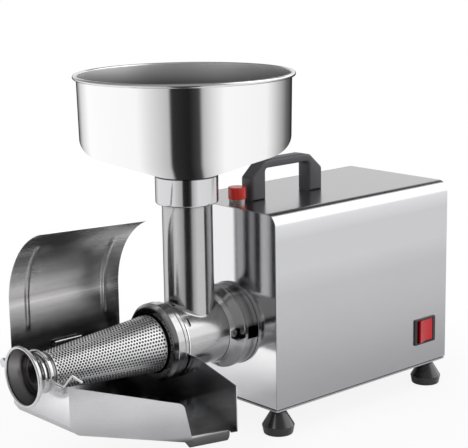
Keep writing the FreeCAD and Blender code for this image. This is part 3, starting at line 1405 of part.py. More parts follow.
def tray_trims():
    """Tools that cut the walls of the tray down to their rims."""
    plan = tray_plan()
    rim = DRIVE_Z - TRAY_RIM_BELOW
    rear_rim = DRIVE_Z - TRAY_REAR_RIM_BELOW
    top = DRIVE_Z + 1
    near = Vector(math.sin(math.radians(SPOUT_NEAR_ANGLE)), math.cos(math.radians(SPOUT_NEAR_ANGLE)), 0)
    drop = math.tan(math.radians(SPOUT_NEAR_DROP))
    rake = math.tan(math.radians(SPOUT_NEAR_RAKE))
    near_end = SPOUT_NEAR_TOP
    near_low = rim - near_end * drop
    bottom = near_low - TOOL_REACH
    past = near_end + TOOL_REACH
    near_points = [
        (0, rim), (near_end, near_low, SPOUT_NEAR_CORNER), (near_end + TOOL_REACH * rake, bottom),
        (past, bottom), (past, top), (0, top),
    ]
    far = Vector(math.cos(math.radians(SPOUT_FAR_ANGLE)), -math.sin(math.radians(SPOUT_FAR_ANGLE)), 0)
    far_drop = math.tan(math.radians(SPOUT_FAR_DROP))
    far_reach = SPOUT_FAR_LENGTH + SPOUT_OPEN
    far_points = [
        (0, rear_rim), (far_reach, rear_rim - far_reach * far_drop), (far_reach, top), (0, top),
    ]
    thick = 3 * TRAY_SHEET
    front = station(TRAY_FRONT_STATION)
    rear = station(TRAY_REAR_STATION)
    return [
        side_cutter(Vector(*plan[1], 0), near, near_points, thick),
        side_cutter(Vector(*plan[4], 0), far, far_points, thick),
        block(-TRAY_LEFT - thick, TRAY_RIGHT + 1, front - thick, front + thick, rim, top),
        block(-TRAY_LEFT - thick, -TRAY_LEFT + thick, front, rear + thick, rim, top),
        block(-TRAY_LEFT - thick, TRAY_RIGHT + 1, rear - thick, rear + thick, rear_rim, top),
    ]


def spout_frame():
    """Near end of the spout's edge, and its directions out, along the edge and down through the floor."""
    slope = math.tan(math.radians(SPOUT_SLOPE))
    near, far = [Vector(x, y, TRAY_FLOOR - slope * (x - TRAY_RIGHT - 1)) for x, y in tray_plan()[2:4]]
    width = (far - near).Length
    along = (far - near).normalize()
    down = along.cross(Vector(1, 0, -slope)).normalize()
    down = down if down.z < 0 else down * -1
    out = down.cross(along).normalize()
    out = out if out.x > 0 else out * -1
    return near, out, along, down, width


def spout_prism(points, start, length, across):
    """Prism in the spout's own frame; points are (out, down) or, with across, (along, out)."""
    near, out, along, down, width = spout_frame()
    if across:
        face = Part.Face(rounded_wire(points, lambda u, v: near + along * u + out * v))
        face.translate(down * start)
        return face.extrude(down * length)
    face = Part.Face(rounded_wire(points, lambda u, v: near + out * u + down * v))
    face.translate(along * start)
    return face.extrude(along * length)


def spout_lip():
    """Lip that turns down at the end of the spout, with a rounded lower corner."""
    near, out, along, down, width = spout_frame()
    reach = 2 * SPOUT_OPEN
    end = width - LIP_SHORT
    start = -4 * LIP_CORNER
    path = [(-LIP_BACK - LIP_LAP, 0), (-LIP_BACK, 0, LIP_BEND), (LIP_REACH, LIP_DROP)]
    strip = spout_prism(sheet_outline(path, TRAY_SHEET), start, end - start, False)
    low = LIP_DROP + TRAY_SHEET
    mask = [(start, -low), (end, -low), (end, low, LIP_CORNER), (start, low)]
    shape = Part.Face(rounded_wire(mask, lambda u, v: near - out * reach + along * u + down * v))
    strip = strip.common(shape.extrude(out * (2 * reach)))
    half = TRAY_SHEET / 2
    plan = inset(tray_plan(), [half, half, -SPOUT_OPEN, half, half, half])
    return strip.common(plate_xy(plan, 0, DRIVE_Z))


def spout_end_cut():
    """Tool that ends the flat floor where the lip starts to bend."""
    width = spout_frame()[4]
    start = -LIP_BACK - LIP_LAP / 2
    points = [(-4 * LIP_CORNER, start), (width - LIP_SHORT, start), (width - LIP_SHORT, SPOUT_OPEN),
              (-4 * LIP_CORNER, SPOUT_OPEN)]
    cut = spout_prism(points, -TRAY_SHEET / 2, 2 * TRAY_SHEET, True)
    sheet = TRAY_SHEET
    plan = inset(tray_plan(), [sheet, sheet, -SPOUT_OPEN, sheet, sheet, sheet])
    return cut.common(plate_xy(plan, 0, DRIVE_Z))


def near_apron():
    """Strip of the near wall that hangs below the spout's floor, deeper towards its end."""
    near = Vector(math.sin(math.radians(SPOUT_NEAR_ANGLE)), math.cos(math.radians(SPOUT_NEAR_ANGLE)), 0)
    slope = math.tan(math.radians(SPOUT_SLOPE)) * near.x
    start = (TRAY_CHAMFER_DEEP + 2) / near.y
    end = SPOUT_NEAR_LENGTH
    floor = TRAY_FLOOR - TRAY_SHEET
    points = [
        (start, floor - slope * start), (start, floor + TRAY_SHEET), (end, floor - slope * end + TRAY_SHEET),
        (end, floor - slope * end - SPOUT_APRON),
    ]
    corner = Vector(*tray_plan()[1], 0)
    face = Part.Face(rounded_wire(points, lambda u, v: corner + near * u + Z_AXIS * v))
    return face.extrude(Vector(-near.y, near.x, 0) * TRAY_SHEET)


def knuckle_spans():
    """Y ranges of the tray's knuckles and of the guard's, outermost first."""
    first = station(GUARD_FRONT_STATION - KNUCKLE_INSET)
    last = station(GUARD_REAR_STATION + KNUCKLE_INSET)
    length = KNUCKLE_LENGTH
    tray = [(first, first + length), (last - length, last)]
    guard = [(first + length + SLIP, first + 2 * length), (last - 2 * length, last - length - SLIP)]
    return tray, guard


def knuckle(y0, y1):
    z = DRIVE_Z - HINGE_BELOW
    return ring_y(-HINGE_X, z, y0, y1, KNUCKLE_R, HINGE_PIN_R + RUNNING)


def bail_plane():
    """Y of the middle of the bail's wire."""
    return station(TRAY_FRONT_STATION + BAIL_STAND + BAIL_R)


def tray_ear():
    """Ear at the left of the front wall that carries the bail's rivet."""
    front = station(TRAY_FRONT_STATION)
    z = DRIVE_Z - BAIL_EYE_BELOW
    margin = EAR_MARGIN
    outline = [
        (-BAIL_EYE_X - margin, z - margin, margin / 2), (-TRAY_LEFT + margin, z - EAR_DROP),
        (-TRAY_LEFT + margin, DRIVE_Z - TRAY_RIM_BELOW), (-TRAY_LEFT, z + margin, margin / 2),
        (-BAIL_EYE_X - margin, z + margin, margin * 0.8),
    ]
    ear = plate_xz(outline, front, TRAY_SHEET)
    return ear.cut(rod_y(-BAIL_EYE_X, z, front - OVERRUN, front + TRAY_SHEET + OVERRUN, BAIL_RIVET_R))


def wire_catch():
    """Folded catch on the front wall, under the bail's wire."""
    front = station(TRAY_FRONT_STATION)
    top = DRIVE_Z - BAIL_RUN_BELOW - BAIL_R - SLIP
    half = CATCH_WIDTH / 2
    back = front + TRAY_SHEET / 2
    low = top - CATCH_HEIGHT
    outline = [(back, top), (front - CATCH_DEPTH, top, 1.0), (front - CATCH_DEPTH, low, 1.0), (back, low)]
    return plate_yz(outline, CATCH_X - half, CATCH_WIDTH)


def tray_clasp():
    """Open ring that snaps round the barrel behind the stop flange."""
    rear = station(TRAY_REAR_STATION)
    inner = BARREL_R + RUNNING
    clasp = ring_y(0, DRIVE_Z, rear - TRAY_SHEET, rear, TRAY_CLASP_R, inner)
    heights = (DRIVE_Z + TRAY_CLASP_RISE, DRIVE_Z + 2 * STOP_R)
    return clasp.cut(block(-STOP_R, STOP_R, rear - 2 * OVERRUN, rear + OVERRUN, *heights))


def juice_tray():
    plan = tray_plan()
    sheet = TRAY_SHEET
    low = TRAY_FLOOR - TOOL_REACH
    outer = plate_xy(plan, low, DRIVE_Z - low).common(above_floor(sheet))
    open_plan = inset(plan, [sheet, sheet, -SPOUT_OPEN, sheet, sheet, sheet])
    inner = plate_xy(open_plan, low, DRIVE_Z + OVERRUN - low).common(above_floor(0))
    tray = outer.cut(inner).cut(spout_end_cut()).fuse(near_apron())
    for trim in tray_trims():
        tray = tray.cut(trim)
    front = station(TRAY_FRONT_STATION)
    rear = station(TRAY_REAR_STATION)
    tray = tray.fuse([spout_lip(), tray_ear(), wire_catch(), tray_clasp()])
    reach = CATCH_DEPTH + OVERRUN
    tray = tray.cut(rod_y(0, DRIVE_Z, front - reach, front + reach, END_RING_R + OUTLET_SHEET + SLIP))
    tray = tray.cut(rod_y(0, DRIVE_Z, rear - reach, rear + reach, BARREL_R + RUNNING))
    inner_x = -HINGE_X + HINGE_PIN_R + TRAY_SHEET / 2
    top = DRIVE_Z - HINGE_BELOW - TRAY_SHEET
    for y0, y1 in knuckle_spans()[0]:
        web = block(inner_x, -TRAY_LEFT + TRAY_SHEET / 2, y0, y1, top - 2 * TRAY_SHEET, top)
        tray = tray.fuse([knuckle(y0, y1), web])
    return tray.removeSplitter()


# ---------------------------------------------------------------- guard
def guard_values(y):
    """Bend radius, height of the bend's start and turn of the guard's section at this y."""
    front = station(GUARD_FRONT_STATION)
    rear = station(GUARD_REAR_STATION)
    share = (y - front) / (rear - front)
    radius = GUARD_FRONT_R + (GUARD_REAR_R - GUARD_FRONT_R) * share
    rise = GUARD_FRONT_RISE + (GUARD_REAR_RISE - GUARD_FRONT_RISE) * share
    turn = GUARD_FRONT_TURN + (GUARD_REAR_TURN - GUARD_FRONT_TURN) * share
    return radius, rise, turn


def guard_section(y, foot, extra_turn, inner, thickness):
    """Closed section of the guard, inner being how far its inner face stands proud of the sheet's."""
    radius, rise, turn = guard_values(y)
    radius -= inner
    turn = math.radians(turn + extra_turn)
    x = -GUARD_X + inner
    reach = radius * math.tan(turn / 2)
    corner_z = DRIVE_Z + rise + reach
    end = (x + reach * math.sin(turn), corner_z + reach * math.cos(turn))
    path = [(x, foot), (x, corner_z, radius), end]
    return rounded_wire(sheet_outline(path, thickness), lambda u, v: Vector(u, y, v))


def guard_loft(y0, y1, foot, extra_turn, inner, thickness):
    ends = [guard_section(y, foot, extra_turn, inner, thickness) for y in (y0, y1)]
    return Part.makeLoft(ends, True, True)


def splash_guard():
    front = station(GUARD_FRONT_STATION)
    rear = station(GUARD_REAR_STATION)
    foot = DRIVE_Z - GUARD_FOOT_BELOW
    guard = guard_loft(front, rear, foot, 0, 0, GUARD_SHEET)
    for middle in (front + RIB_FROM_FRONT, rear - RIB_FROM_REAR):
        ends = (middle - RIB_WIDTH / 2, middle + RIB_WIDTH / 2)
        rib_foot = DRIVE_Z + RIB_FOOT_ABOVE
        extra = RIB_TURN - GUARD_FRONT_TURN
        guard = guard.fuse(guard_loft(*ends, rib_foot, extra, RIB_PROUD, RIB_PROUD + GUARD_SHEET / 2))
    z = DRIVE_Z - HINGE_BELOW
    tray_knuckles, guard_knuckles = knuckle_spans()
    room = KNUCKLE_R + 1
    for y0, y1 in tray_knuckles:
        guard = guard.cut(block(-HINGE_X - room, -GUARD_X + 1, y0 - SLIP, y1 + SLIP, z - room, z + room))
    for y0, y1 in guard_knuckles:
        guard = guard.cut(rod_y(-HINGE_X, z, y0, y1, HINGE_PIN_R + RUNNING)).fuse(knuckle(y0, y1))
    return guard.removeSplitter()


def guard_hinge_pin():
    tray_knuckles = knuckle_spans()[0]
    ends = (tray_knuckles[0][0] - HINGE_PIN_R, tray_knuckles[1][1] + HINGE_PIN_R)
    return rod_y(-HINGE_X, DRIVE_Z - HINGE_BELOW, *ends, HINGE_PIN_R)


def guard_staple():
    """Small wire staple on the guard's inner face, with its two ends turned down."""
    x = -GUARD_X + STAPLE_OFF
    z = DRIVE_Z + STAPLE_RISE
    y0 = station(STAPLE_STATION + STAPLE_LENGTH / 2)
    y1 = station(STAPLE_STATION - STAPLE_LENGTH / 2)
    low = z - STAPLE_LEG
    rod = wire_rod([Vector(x, y0, low), Vector(x, y0, z), Vector(x, y1, z), Vector(x, y1, low)], STAPLE_R)
    pegs = [rod_x(y, z - STAPLE_LEG / 2, -GUARD_X, x, STAPLE_R) for y in (y0, y1)]
    return rod.fuse(pegs).removeSplitter()


# ---------------------------------------------------------------- wire bail
def retaining_wire():
    """Bail that turns on the tray's ear, arches over the neck and ends in a V-shaped grip."""
    y = bail_plane()
    eye = Vector(-BAIL_EYE_X, y, DRIVE_Z - BAIL_EYE_BELOW)
    axis = Vector(0, y, DRIVE_Z)
    left = math.radians(180 + 2)
    right = math.radians(-4)
    start = axis + Vector(BAIL_ARCH * math.cos(left), 0, BAIL_ARCH * math.sin(left))
    end = axis + Vector(BAIL_ARCH * math.cos(right), 0, BAIL_ARCH * math.sin(right))
    ring = Part.makeTorus(BAIL_EYE_R, BAIL_R, eye, Y_AXIS)
    crown = Part.Arc(start, axis + Vector(0, 0, BAIL_ARCH), end).toShape()
    section = Part.Wire(Part.makeCircle(BAIL_R, start, tangent_of(crown)))
    arch = Part.Wire(crown).makePipeShell([section], True, False)
    lead = wire_rod([eye + Vector(BAIL_EYE_R, 0, 0), start], BAIL_R)
    run = DRIVE_Z - BAIL_RUN_BELOW
    grip = wire_rod([
        end, Vector(BAIL_ARCH + 3, y, run), Vector(BAIL_RUN_X, y, run),
        Vector(BAIL_GRIP_X, y, DRIVE_Z + BAIL_GRIP_RISE),
        Vector(BAIL_TIP_X, y + BAIL_TIP_BACK, DRIVE_Z + BAIL_TIP_RISE),
    ], BAIL_R)
    joints = [Part.makeSphere(BAIL_R, start), Part.makeSphere(BAIL_R, end)]
    return ring.fuse([lead, arch, grip] + joints).removeSplitter()


def tangent_of(edge):
    return edge.tangentAt(edge.FirstParameter)


def bail_rivet():
    """Rivet that carries the bail's eye, flush with the back of the ear."""
    front = station(TRAY_FRONT_STATION)
    y = bail_plane()
    z = DRIVE_Z - BAIL_EYE_BELOW
    eye_room = BAIL_EYE_R - BAIL_R - RUNNING
    shank = rod_y(-BAIL_EYE_X, z, y - BAIL_R - SLIP, front + TRAY_SHEET, BAIL_RIVET_R)
    sleeve = rod_y(-BAIL_EYE_X, z, y - BAIL_R - SLIP, front, eye_room)
    face = y - BAIL_R - SLIP
    head = rod_y(-BAIL_EYE_X, z, face - BAIL_RIVET_HEAD, face, BAIL_EYE_R + BAIL_RIVET_R / 2)
    return fused([shank, sleeve, head])


# ---------------------------------------------------------------- writing the nodes
def main():
    for name, (x, y) in feet_places().items():
        save("foot_" + name, foot(x, y))
    nodes = {
        "foot_screws": foot_screws, "base_plate": base_plate, "joint_strip": joint_strip,
        "housing_cover": housing_cover, "front_plate": front_plate, "rear_plate": rear_plate,
        "rear_screws": rear_screws, "cable_grommet": cable_grommet, "handle": handle,
        "handle_screws": handle_screws, "button_base": button_base, "button_cap": button_cap,
        "button_spring": button_spring, "switch_block": switch_block, "switch_bezel": switch_bezel,
        "switch_rocker": switch_rocker, "gearbox_case": gearbox_case, "gearbox_cover": gearbox_cover,
        "output_bearing": output_bearing, "output_shaft": output_shaft, "output_gear": output_gear,
        "layshaft": layshaft, "layshaft_gear": layshaft_gear, "motor_case": motor_case,
        "stator_core": stator_core, "stator_windings": stator_windings, "rotor_shaft": rotor_shaft,
        "rotor_core": rotor_core, "motor_fan": motor_fan, "motor_cradle": motor_cradle,
        "capacitor": capacitor, "nose_hub": nose_hub, "hub_screws": hub_screws, "nose_bush": nose_bush,
        "strainer_body": strainer_body, "locking_screw": locking_screw, "shaft_seal": shaft_seal,
        "ring_nut": ring_nut, "filter_screen": filter_screen, "screen_end_ring": screen_end_ring,
        "waste_outlet": waste_outlet, "auger_core": auger_core, "auger_flight": auger_flight,
        "hopper_collar": hopper_collar,
        "hopper_floor": hopper_floor, "hopper_wall": hopper_wall, "juice_tray": juice_tray, "splash_guard": splash_guard,
        "guard_hinge_pin": guard_hinge_pin, "guard_staple": guard_staple,
        "retaining_wire": retaining_wire, "bail_rivet": bail_rivet,
    }
    for node, build in nodes.items():
        save(node, build())
    for side, front in (("front", True), ("rear", False)):
        save("motor_cap_" + side, motor_cap(front))
        save("motor_bearing_" + side, motor_bearing(front))


main()
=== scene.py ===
"""Electric tomato strainer: finishes and fine forms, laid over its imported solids.

Sizes are in millimetres in the frame of the solids: +Z up, the drive axis along Y, the outlet towards -Y.
A station is a distance ahead of the cover's front edge and a depth is a distance behind it.
"""

import logging
import math
from dataclasses import dataclass
from enum import Enum
from typing import Sequence

import bpy
import numpy as np
from mathutils import Matrix, Vector


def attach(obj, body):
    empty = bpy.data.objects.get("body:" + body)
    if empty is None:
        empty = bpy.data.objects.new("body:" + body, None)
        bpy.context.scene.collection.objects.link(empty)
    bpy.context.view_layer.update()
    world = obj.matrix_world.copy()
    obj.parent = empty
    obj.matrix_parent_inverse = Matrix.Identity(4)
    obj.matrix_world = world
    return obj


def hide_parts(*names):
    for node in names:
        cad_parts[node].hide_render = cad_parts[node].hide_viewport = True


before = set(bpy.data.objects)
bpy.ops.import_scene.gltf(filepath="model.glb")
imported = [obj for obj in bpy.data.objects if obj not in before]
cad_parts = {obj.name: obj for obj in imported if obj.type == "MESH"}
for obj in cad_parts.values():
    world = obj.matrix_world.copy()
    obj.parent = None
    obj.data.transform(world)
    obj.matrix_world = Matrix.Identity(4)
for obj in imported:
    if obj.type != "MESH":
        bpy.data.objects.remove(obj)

Array = np.ndarray
Triple = tuple[float, float, float]
Colour = Triple
Stops = tuple[tuple[float, float], ...]
Inputs = dict[str | int, object]
Node = bpy.types.Node
Socket = bpy.types.NodeSocket
Piece = bpy.types.Object
MM = 0.001
FRONT_Y = -7.75
DRIVE_Z = 119.5
COVER_TOP = 261.0
COVER_SIDE = 88.0
FRONT_BEARING = 48.27     # direction that the object's show side faces, from -Y towards +X
# Painted shade: between these shares of open sky a crevice's colour is painted darker.
OPEN_SKY, CLOSED_SKY = 0.80, 0.20     # shares of open sky between which a crevice darkens
GRAIN_DEPTH = 0.0003      # height in metres of the grain's relief
COAT_ROUGHNESS = 0.06
WHITE = (1.0, 1.0, 1.0, 1.0)
LOG = logging.getLogger("strainer")


def station(distance: float | Array) -> float | Array:
    """Y of a point this far ahead of the cover's front edge."""
    return FRONT_Y - distance


def depth(distance: float | Array) -> float | Array:
    """Y of a point this far behind the cover's front edge."""
    return FRONT_Y + distance


# ---------------------------------------------------------------- finishes
class Grain(Enum):
    """Direction in which a surface was worked: the noise is drawn out along it."""

    EVEN = (1.0, 1.0, 1.0)
    ALONG_X = (0.04, 1.0, 1.0)
    ALONG_Y = (1.0, 0.04, 1.0)
    ALONG_Z = (1.0, 1.0, 0.04)
    ROUND_Y = (0.3, 1.0, 0.3)


class Wiring:
    """Short calls that add nodes to a tree together with their inputs."""

    def __init__(self, tree: bpy.types.NodeTree) -> None:
        """Keep the tree that the nodes go into."""
        self.tree = tree

    def fill(self, node: Node, inputs: Inputs) -> Node:
        """Give a node's inputs what they take.

        Args:
            node: the node.
            inputs: for an input's name or place its socket, number, vector or colour.

        Returns:
            The same node.
        """
        for name, term in inputs.items():
            if isinstance(term, Socket):
                self.tree.links.new(term, node.inputs[name])
            else:
                node.inputs[name].default_value = term
        return node

    def add(self, kind: str, inputs: Inputs | None = None, **settings: object) -> Node:
        """Add a node.

        Args:
            kind: its type without the word ShaderNode.
            inputs: what its inputs take, as for fill.
            settings: its properties.

        Returns:
            The node.
        """
        node = self.tree.nodes.new("ShaderNode" + kind)
        for name, value in settings.items():
            setattr(node, name, value)
        return self.fill(node, inputs or {})

    def math(self, operation: str, *terms: object, **settings: object) -> Socket:
        """Number that a Math node works out from its terms."""
        return self.add("Math", dict(enumerate(terms)), operation=operation, **settings).outputs[0]

    def vector(self, operation: str, *terms: object) -> Socket:
        """Vector, length or dot product worked out from the terms, the second of which may be a scale."""
        places = (0, "Scale") if operation == "SCALE" else range(len(terms))
        node = self.add("VectorMath", dict(zip(places, terms)), operation=operation)
        return node.outputs["Value" if operation in ("LENGTH", "DOT_PRODUCT") else "Vector"]

    def way(self, value: Socket, low: float, high: float, smooth: bool = True,
            least: float = 0.0) -> Socket:
        """How far a value has come from low to high.

        Args:
            value: socket with the value.
            low: value that gives the least result.
            high: value that gives 1.
            smooth: whether the ends are level, as 3 s^2 - 2 s^3, or the way is straight.
            least: result at low.

        Returns:
            Socket with the result.
        """
        inputs = {"Value": value, "From Min": low, "From Max": high, "To Min": least}
        kind = "SMOOTHSTEP" if smooth else "LINEAR"
        return self.add("MapRange", inputs, interpolation_type=kind).outputs["Result"]

    def ramp(self, value: Socket, stops: Sequence[tuple[float, float]]) -> Socket:
        """Grey of a ramp.

        Args:
            value: socket with a number from 0 to 1.
            stops: position from 0 to 1 and brightness of each stop, in order.

        Returns:
            Socket with the colour.
        """
        node = self.add("ValToRGB", {"Fac": value})
        elements = node.color_ramp.elements
        while len(elements) < len(stops):
            elements.new(0.5)
        for element, (place, tone) in zip(elements, stops):
            element.position = place
            element.color = (tone, tone, tone, 1.0)
        return node.outputs["Color"]

    def mixed(self, share: Socket, first: Node, second: Node) -> Node:
        """Shader that goes from the first to the second as the share goes from 0 to 1."""
        return self.add("MixShader", {0: share, 1: first.outputs[0], 2: second.outputs[0]})


def worked_surface_and_painted_shade() -> bpy.types.NodeTree:
    """Shared effect of a worked surface with painted shade: fine grain over broad, soft stains, and crevices
    painted darker.

    Fine noise on the stretched object coordinates gives the grain and its height. Broad noise gives the
    stains. Both change the colour by the share Tone and the roughness by the share Spread. Where other faces
    stand within Reach, ambient occlusion paints shade into the colour, which falls by up to the share Painted
    Crevice Shade.

    Returns:
        The node group, made on the first call.
    """
    group = bpy.data.node_groups.get("worked_surface_and_painted_shade")
    if group:
        return group
    group = bpy.data.node_groups.new("worked_surface_and_painted_shade", "ShaderNodeTree")
    kinds = {"Color": "Color", "Stretch": "Vector"}
    for way, names in (
        ("INPUT", ("Color", "Roughness", "Tone", "Spread", "Stretch", "Fine", "Broad", "Painted Crevice Shade", "Reach")),
        ("OUTPUT", ("Color", "Roughness", "Height")),
    ):
        for name in names:
            group.interface.new_socket(name, in_out=way, socket_type="NodeSocket" + kinds.get(name, "Float"))
    wiring = Wiring(group)
    given = group.nodes.new("NodeGroupInput").outputs
    place = wiring.add("TexCoord").outputs["Object"]
    stretched = wiring.vector("MULTIPLY", place, given["Stretch"])
    fine = wiring.add("TexNoise", {"Vector": stretched, "Scale": given["Fine"], "Detail": 4.0}).outputs["Fac"]
    broad = wiring.add("TexNoise", {"Vector": place, "Scale": given["Broad"], "Detail": 2.0}).outputs["Fac"]
    off = wiring.math("SUBTRACT", wiring.math("ADD", fine, broad), 1.0)
    tone = wiring.math("MULTIPLY_ADD", off, given["Tone"], 1.0)
    # Painted shade: ambient occlusion darkens the colour where other faces stand near.
    near = wiring.add("AmbientOcclusion", {"Distance": given["Reach"]}, samples=6)
    closed = wiring.way(near.outputs["AO"], OPEN_SKY, CLOSED_SKY)
    unshaded_share = wiring.math("SUBTRACT", 1.0, wiring.math("MULTIPLY", closed, given["Painted Crevice Shade"]))
    wiring.fill(group.nodes.new("NodeGroupOutput"), {
        "Color": wiring.vector("SCALE", given["Color"], wiring.math("MULTIPLY", tone, unshaded_share)),
        "Roughness": wiring.math("MULTIPLY_ADD", off, given["Spread"], given["Roughness"], use_clamp=True),
        "Height": fine,
    })
    return group


@dataclass(frozen=True)
class Finish:
    """One finish: a principled surface whose colour, gloss and height come from the worked surface, with
    painted shade.

    Tone and spread are the shares by which noise changes colour and roughness, fine and broad the scales of
    the two noises. Painted crevice shade is the share of colour lost, as painted shade, where faces stand
    within reach, in metres. Painted light heights are places along the axis in millimetres with factors of
    the colour, which paint light and shade by height. A drum is the place and the radius of an upright drum
    whose normals the surface takes.
    """

    name: str
    colour: Colour
    roughness: float
    metallic: float = 0.0
    tone: float = 0.15
    spread: float = 0.08
    grain: Grain = Grain.EVEN
    fine: float = 900.0
    broad: float = 14.0
    bump: float = 0.05
    coat: float = 0.0
    specular: float = 0.5
    # Painted shade in crevices, and painted light and shade by height.
    painted_crevice_shade: float = 0.0
    reach: float = 0.02
    painted_light_heights: Stops = ()
    axis: str = "Z"
    drum: Triple | None = None

    def painted_light_ramp(self, wiring: Wiring) -> Socket:
        """Socket with the colour times a ramp along the axis, which paints light and shade by height."""
        split = wiring.add("SeparateXYZ", {0: wiring.add("TexCoord").outputs["Object"]})
        low, high = self.painted_light_heights[0][0], self.painted_light_heights[-1][0]
        share = wiring.way(split.outputs[self.axis], low * MM, high * MM, smooth=False)
        ramp = wiring.ramp(share, [((height - low) / (high - low), value) for height, value in self.painted_light_heights])
        return wiring.vector("MULTIPLY", self.colour, ramp)

    def drum_normal(self, wiring: Wiring) -> Socket:
        """Normal of an upright drum: level, with the same share to the side all the way down.

        The share to the side is the distance beside the axis over the distance from the axis, or over the
        drum's radius nearer to the axis than that. The share ahead is sqrt(1 - side^2) to the nearer end.

        Args:
            wiring: nodes of the material.

        Returns:
            Socket with the normal.
        """
        x, y, radius = (value * MM for value in self.drum)
        turn = math.radians(FRONT_BEARING)
        aside, ahead = (math.cos(turn), math.sin(turn), 0.0), (math.sin(turn), -math.cos(turn), 0.0)
        level = wiring.vector("MULTIPLY", wiring.add("TexCoord").outputs["Object"], (1.0, 1.0, 0.0))
        off = wiring.vector("SUBTRACT", level, (x, y, 0.0))
        reach = wiring.math("MAXIMUM", wiring.vector("LENGTH", off), radius)
        side = wiring.math("DIVIDE", wiring.vector("DOT_PRODUCT", off, aside), reach)
        rest = wiring.math("SQRT", wiring.math("SUBTRACT", 1.0, wiring.math("MULTIPLY", side, side)))
        end = wiring.math("SIGN", wiring.vector("DOT_PRODUCT", off, ahead))
        to_end = wiring.vector("SCALE", ahead, wiring.math("MULTIPLY", rest, end))
        normal = wiring.vector("ADD", wiring.vector("SCALE", aside, side), to_end)
        kinds = {"vector_type": "NORMAL", "convert_from": "OBJECT", "convert_to": "WORLD"}
        return wiring.vector("NORMALIZE", wiring.add("VectorTransform", {0: normal}, **kinds).outputs[0])

    def material(self) -> bpy.types.Material:
        """Material of this finish, made on the first call.

        Returns:
            The material.
        """
        known = bpy.data.materials.get(self.name)
        if known:
            return known
        material = bpy.data.materials.new(self.name)
        material.use_nodes = True
        wiring = Wiring(material.node_tree)
        worked = wiring.add("Group", {
            "Color": self.painted_light_ramp(wiring) if self.painted_light_heights else (*self.colour, 1.0),
            "Roughness": self.roughness, "Tone": self.tone, "Spread": self.spread,
            "Stretch": self.grain.value, "Fine": self.fine, "Broad": self.broad,
            "Painted Crevice Shade": self.painted_crevice_shade, "Reach": self.reach,
        }, node_tree=worked_surface_and_painted_shade()).outputs
        relief = {"Strength": self.bump, "Distance": GRAIN_DEPTH, "Height": worked["Height"]}
        bump = wiring.add("Bump", relief)
        if self.drum:
            wiring.fill(bump, {"Normal": self.drum_normal(wiring)})
        wiring.fill(material.node_tree.nodes["Principled BSDF"], {
            "Metallic": self.metallic, "Specular IOR Level": self.specular, "Coat Weight": self.coat,
            "Coat Roughness": COAT_ROUGHNESS, "Base Color": worked["Color"], "Roughness": worked["Roughness"],
            "Normal": bump.outputs["Normal"],
        })
        return material


HOPPER_Y = station(52.5)

# Painted light by height: the lower side darker, a painted highlight along the bend under the top, the top
# edge darker.
SATIN_COVER = Finish(
    "satin_cover", (0.56, 0.56, 0.575), 0.22, 1.0, 0.04, 0.03, Grain.ALONG_Y, 1400.0, 9.0, 0.015,
    painted_light_heights=((40.0, 0.82), (124.0, 0.84), (166.0, 0.87), (194.0, 1.0), (230.0, 1.0), (250.0, 1.25),
             (257.0, 1.1), (260.3, 0.76), (262.0, 0.76)))
# Painted reflection: the lower part of the plate is brighter, as if it mirrored the pale floor.
MIRROR_PLATE = Finish(
    "mirror_plate", (0.74, 0.74, 0.75), 0.09, 1.0, 0.03, 0.02, Grain.ALONG_Z, 900.0, 12.0, 0.01,
    painted_light_heights=((36.0, 1.34), (98.0, 1.34), (118.0, 1.0), (262.0, 1.0)))
# Painted shade in crevices.
SPUN_STEEL = Finish(
    "spun_steel", (0.68, 0.68, 0.685), 0.08, 1.0, 0.03, 0.03, Grain.EVEN, 500.0, 12.0, 0.008,
    painted_crevice_shade=0.6, reach=0.012)
BOWL_OUTSIDE = Finish(
    "bowl_outside", (0.85, 0.85, 0.855), 0.08, 1.0, 0.02, 0.02, Grain.ALONG_Z, 500.0, 12.0, 0.004,
    drum=(0.0, HOPPER_Y, 117.0))
# Painted light and shade on the bowl's inside by height: a dark band under the rim and a painted highlight at
# the rim.
BOWL_INSIDE = Finish(
    "bowl_inside", (0.66, 0.66, 0.665), 0.36, 1.0, 0.02, 0.01, Grain.EVEN, 60.0, 12.0, 0.0,
    painted_light_heights=((300.0, 0.9), (380.0, 0.72), (394.0, 0.42), (403.0, 0.85), (417.0, 1.5)))
# Painted shade: the lip and lower tray near black, brightening upward to a painted highlight, and crevices
# painted darker.
BRIGHT_SHEET = Finish(
    "bright_sheet", (0.57, 0.57, 0.58), 0.15, 1.0, 0.25, 0.08, Grain.ALONG_Y, 900.0, 18.0, 0.05,
    painted_crevice_shade=0.35, reach=0.035,
    painted_light_heights=((40.0, 0.12), (46.0, 0.2), (51.0, 0.75), (64.0, 0.88), (80.0, 1.25), (100.0, 1.6), (140.0, 1.6)))
# Painted reflection bands by height, dark and bright in turn, and painted shade in crevices.
GUARD_SHEET = Finish(
    "guard_sheet", (0.60, 0.59, 0.59), 0.26, 1.0, 0.40, 0.10, Grain.ALONG_Y, 260.0, 14.0, 0.06,
    painted_crevice_shade=0.4, reach=0.03,
    painted_light_heights=((107.0, 0.2), (128.0, 0.3), (133.0, 0.45), (140.0, 0.25), (146.0, 0.35), (153.0, 0.6),
             (171.0, 0.62), (180.0, 0.95), (188.0, 0.65), (200.0, 1.0), (212.0, 1.0), (235.0, 1.6),
             (262.0, 1.3)))
# Painted highlight in a band round the cone's middle height, darker above and below, and painted shade in
# crevices.
SCREEN_STEEL = Finish(
    "screen_steel", (0.90, 0.90, 0.90), 0.16, 1.0, 0.08, 0.06, Grain.ALONG_Y, 900.0, 25.0, 0.03,
    painted_crevice_shade=0.6, reach=0.012,
    painted_light_heights=((86.0, 0.35), (99.0, 0.55), (108.0, 1.0), (132.0, 1.0), (142.0, 0.5), (152.0, 0.35)))
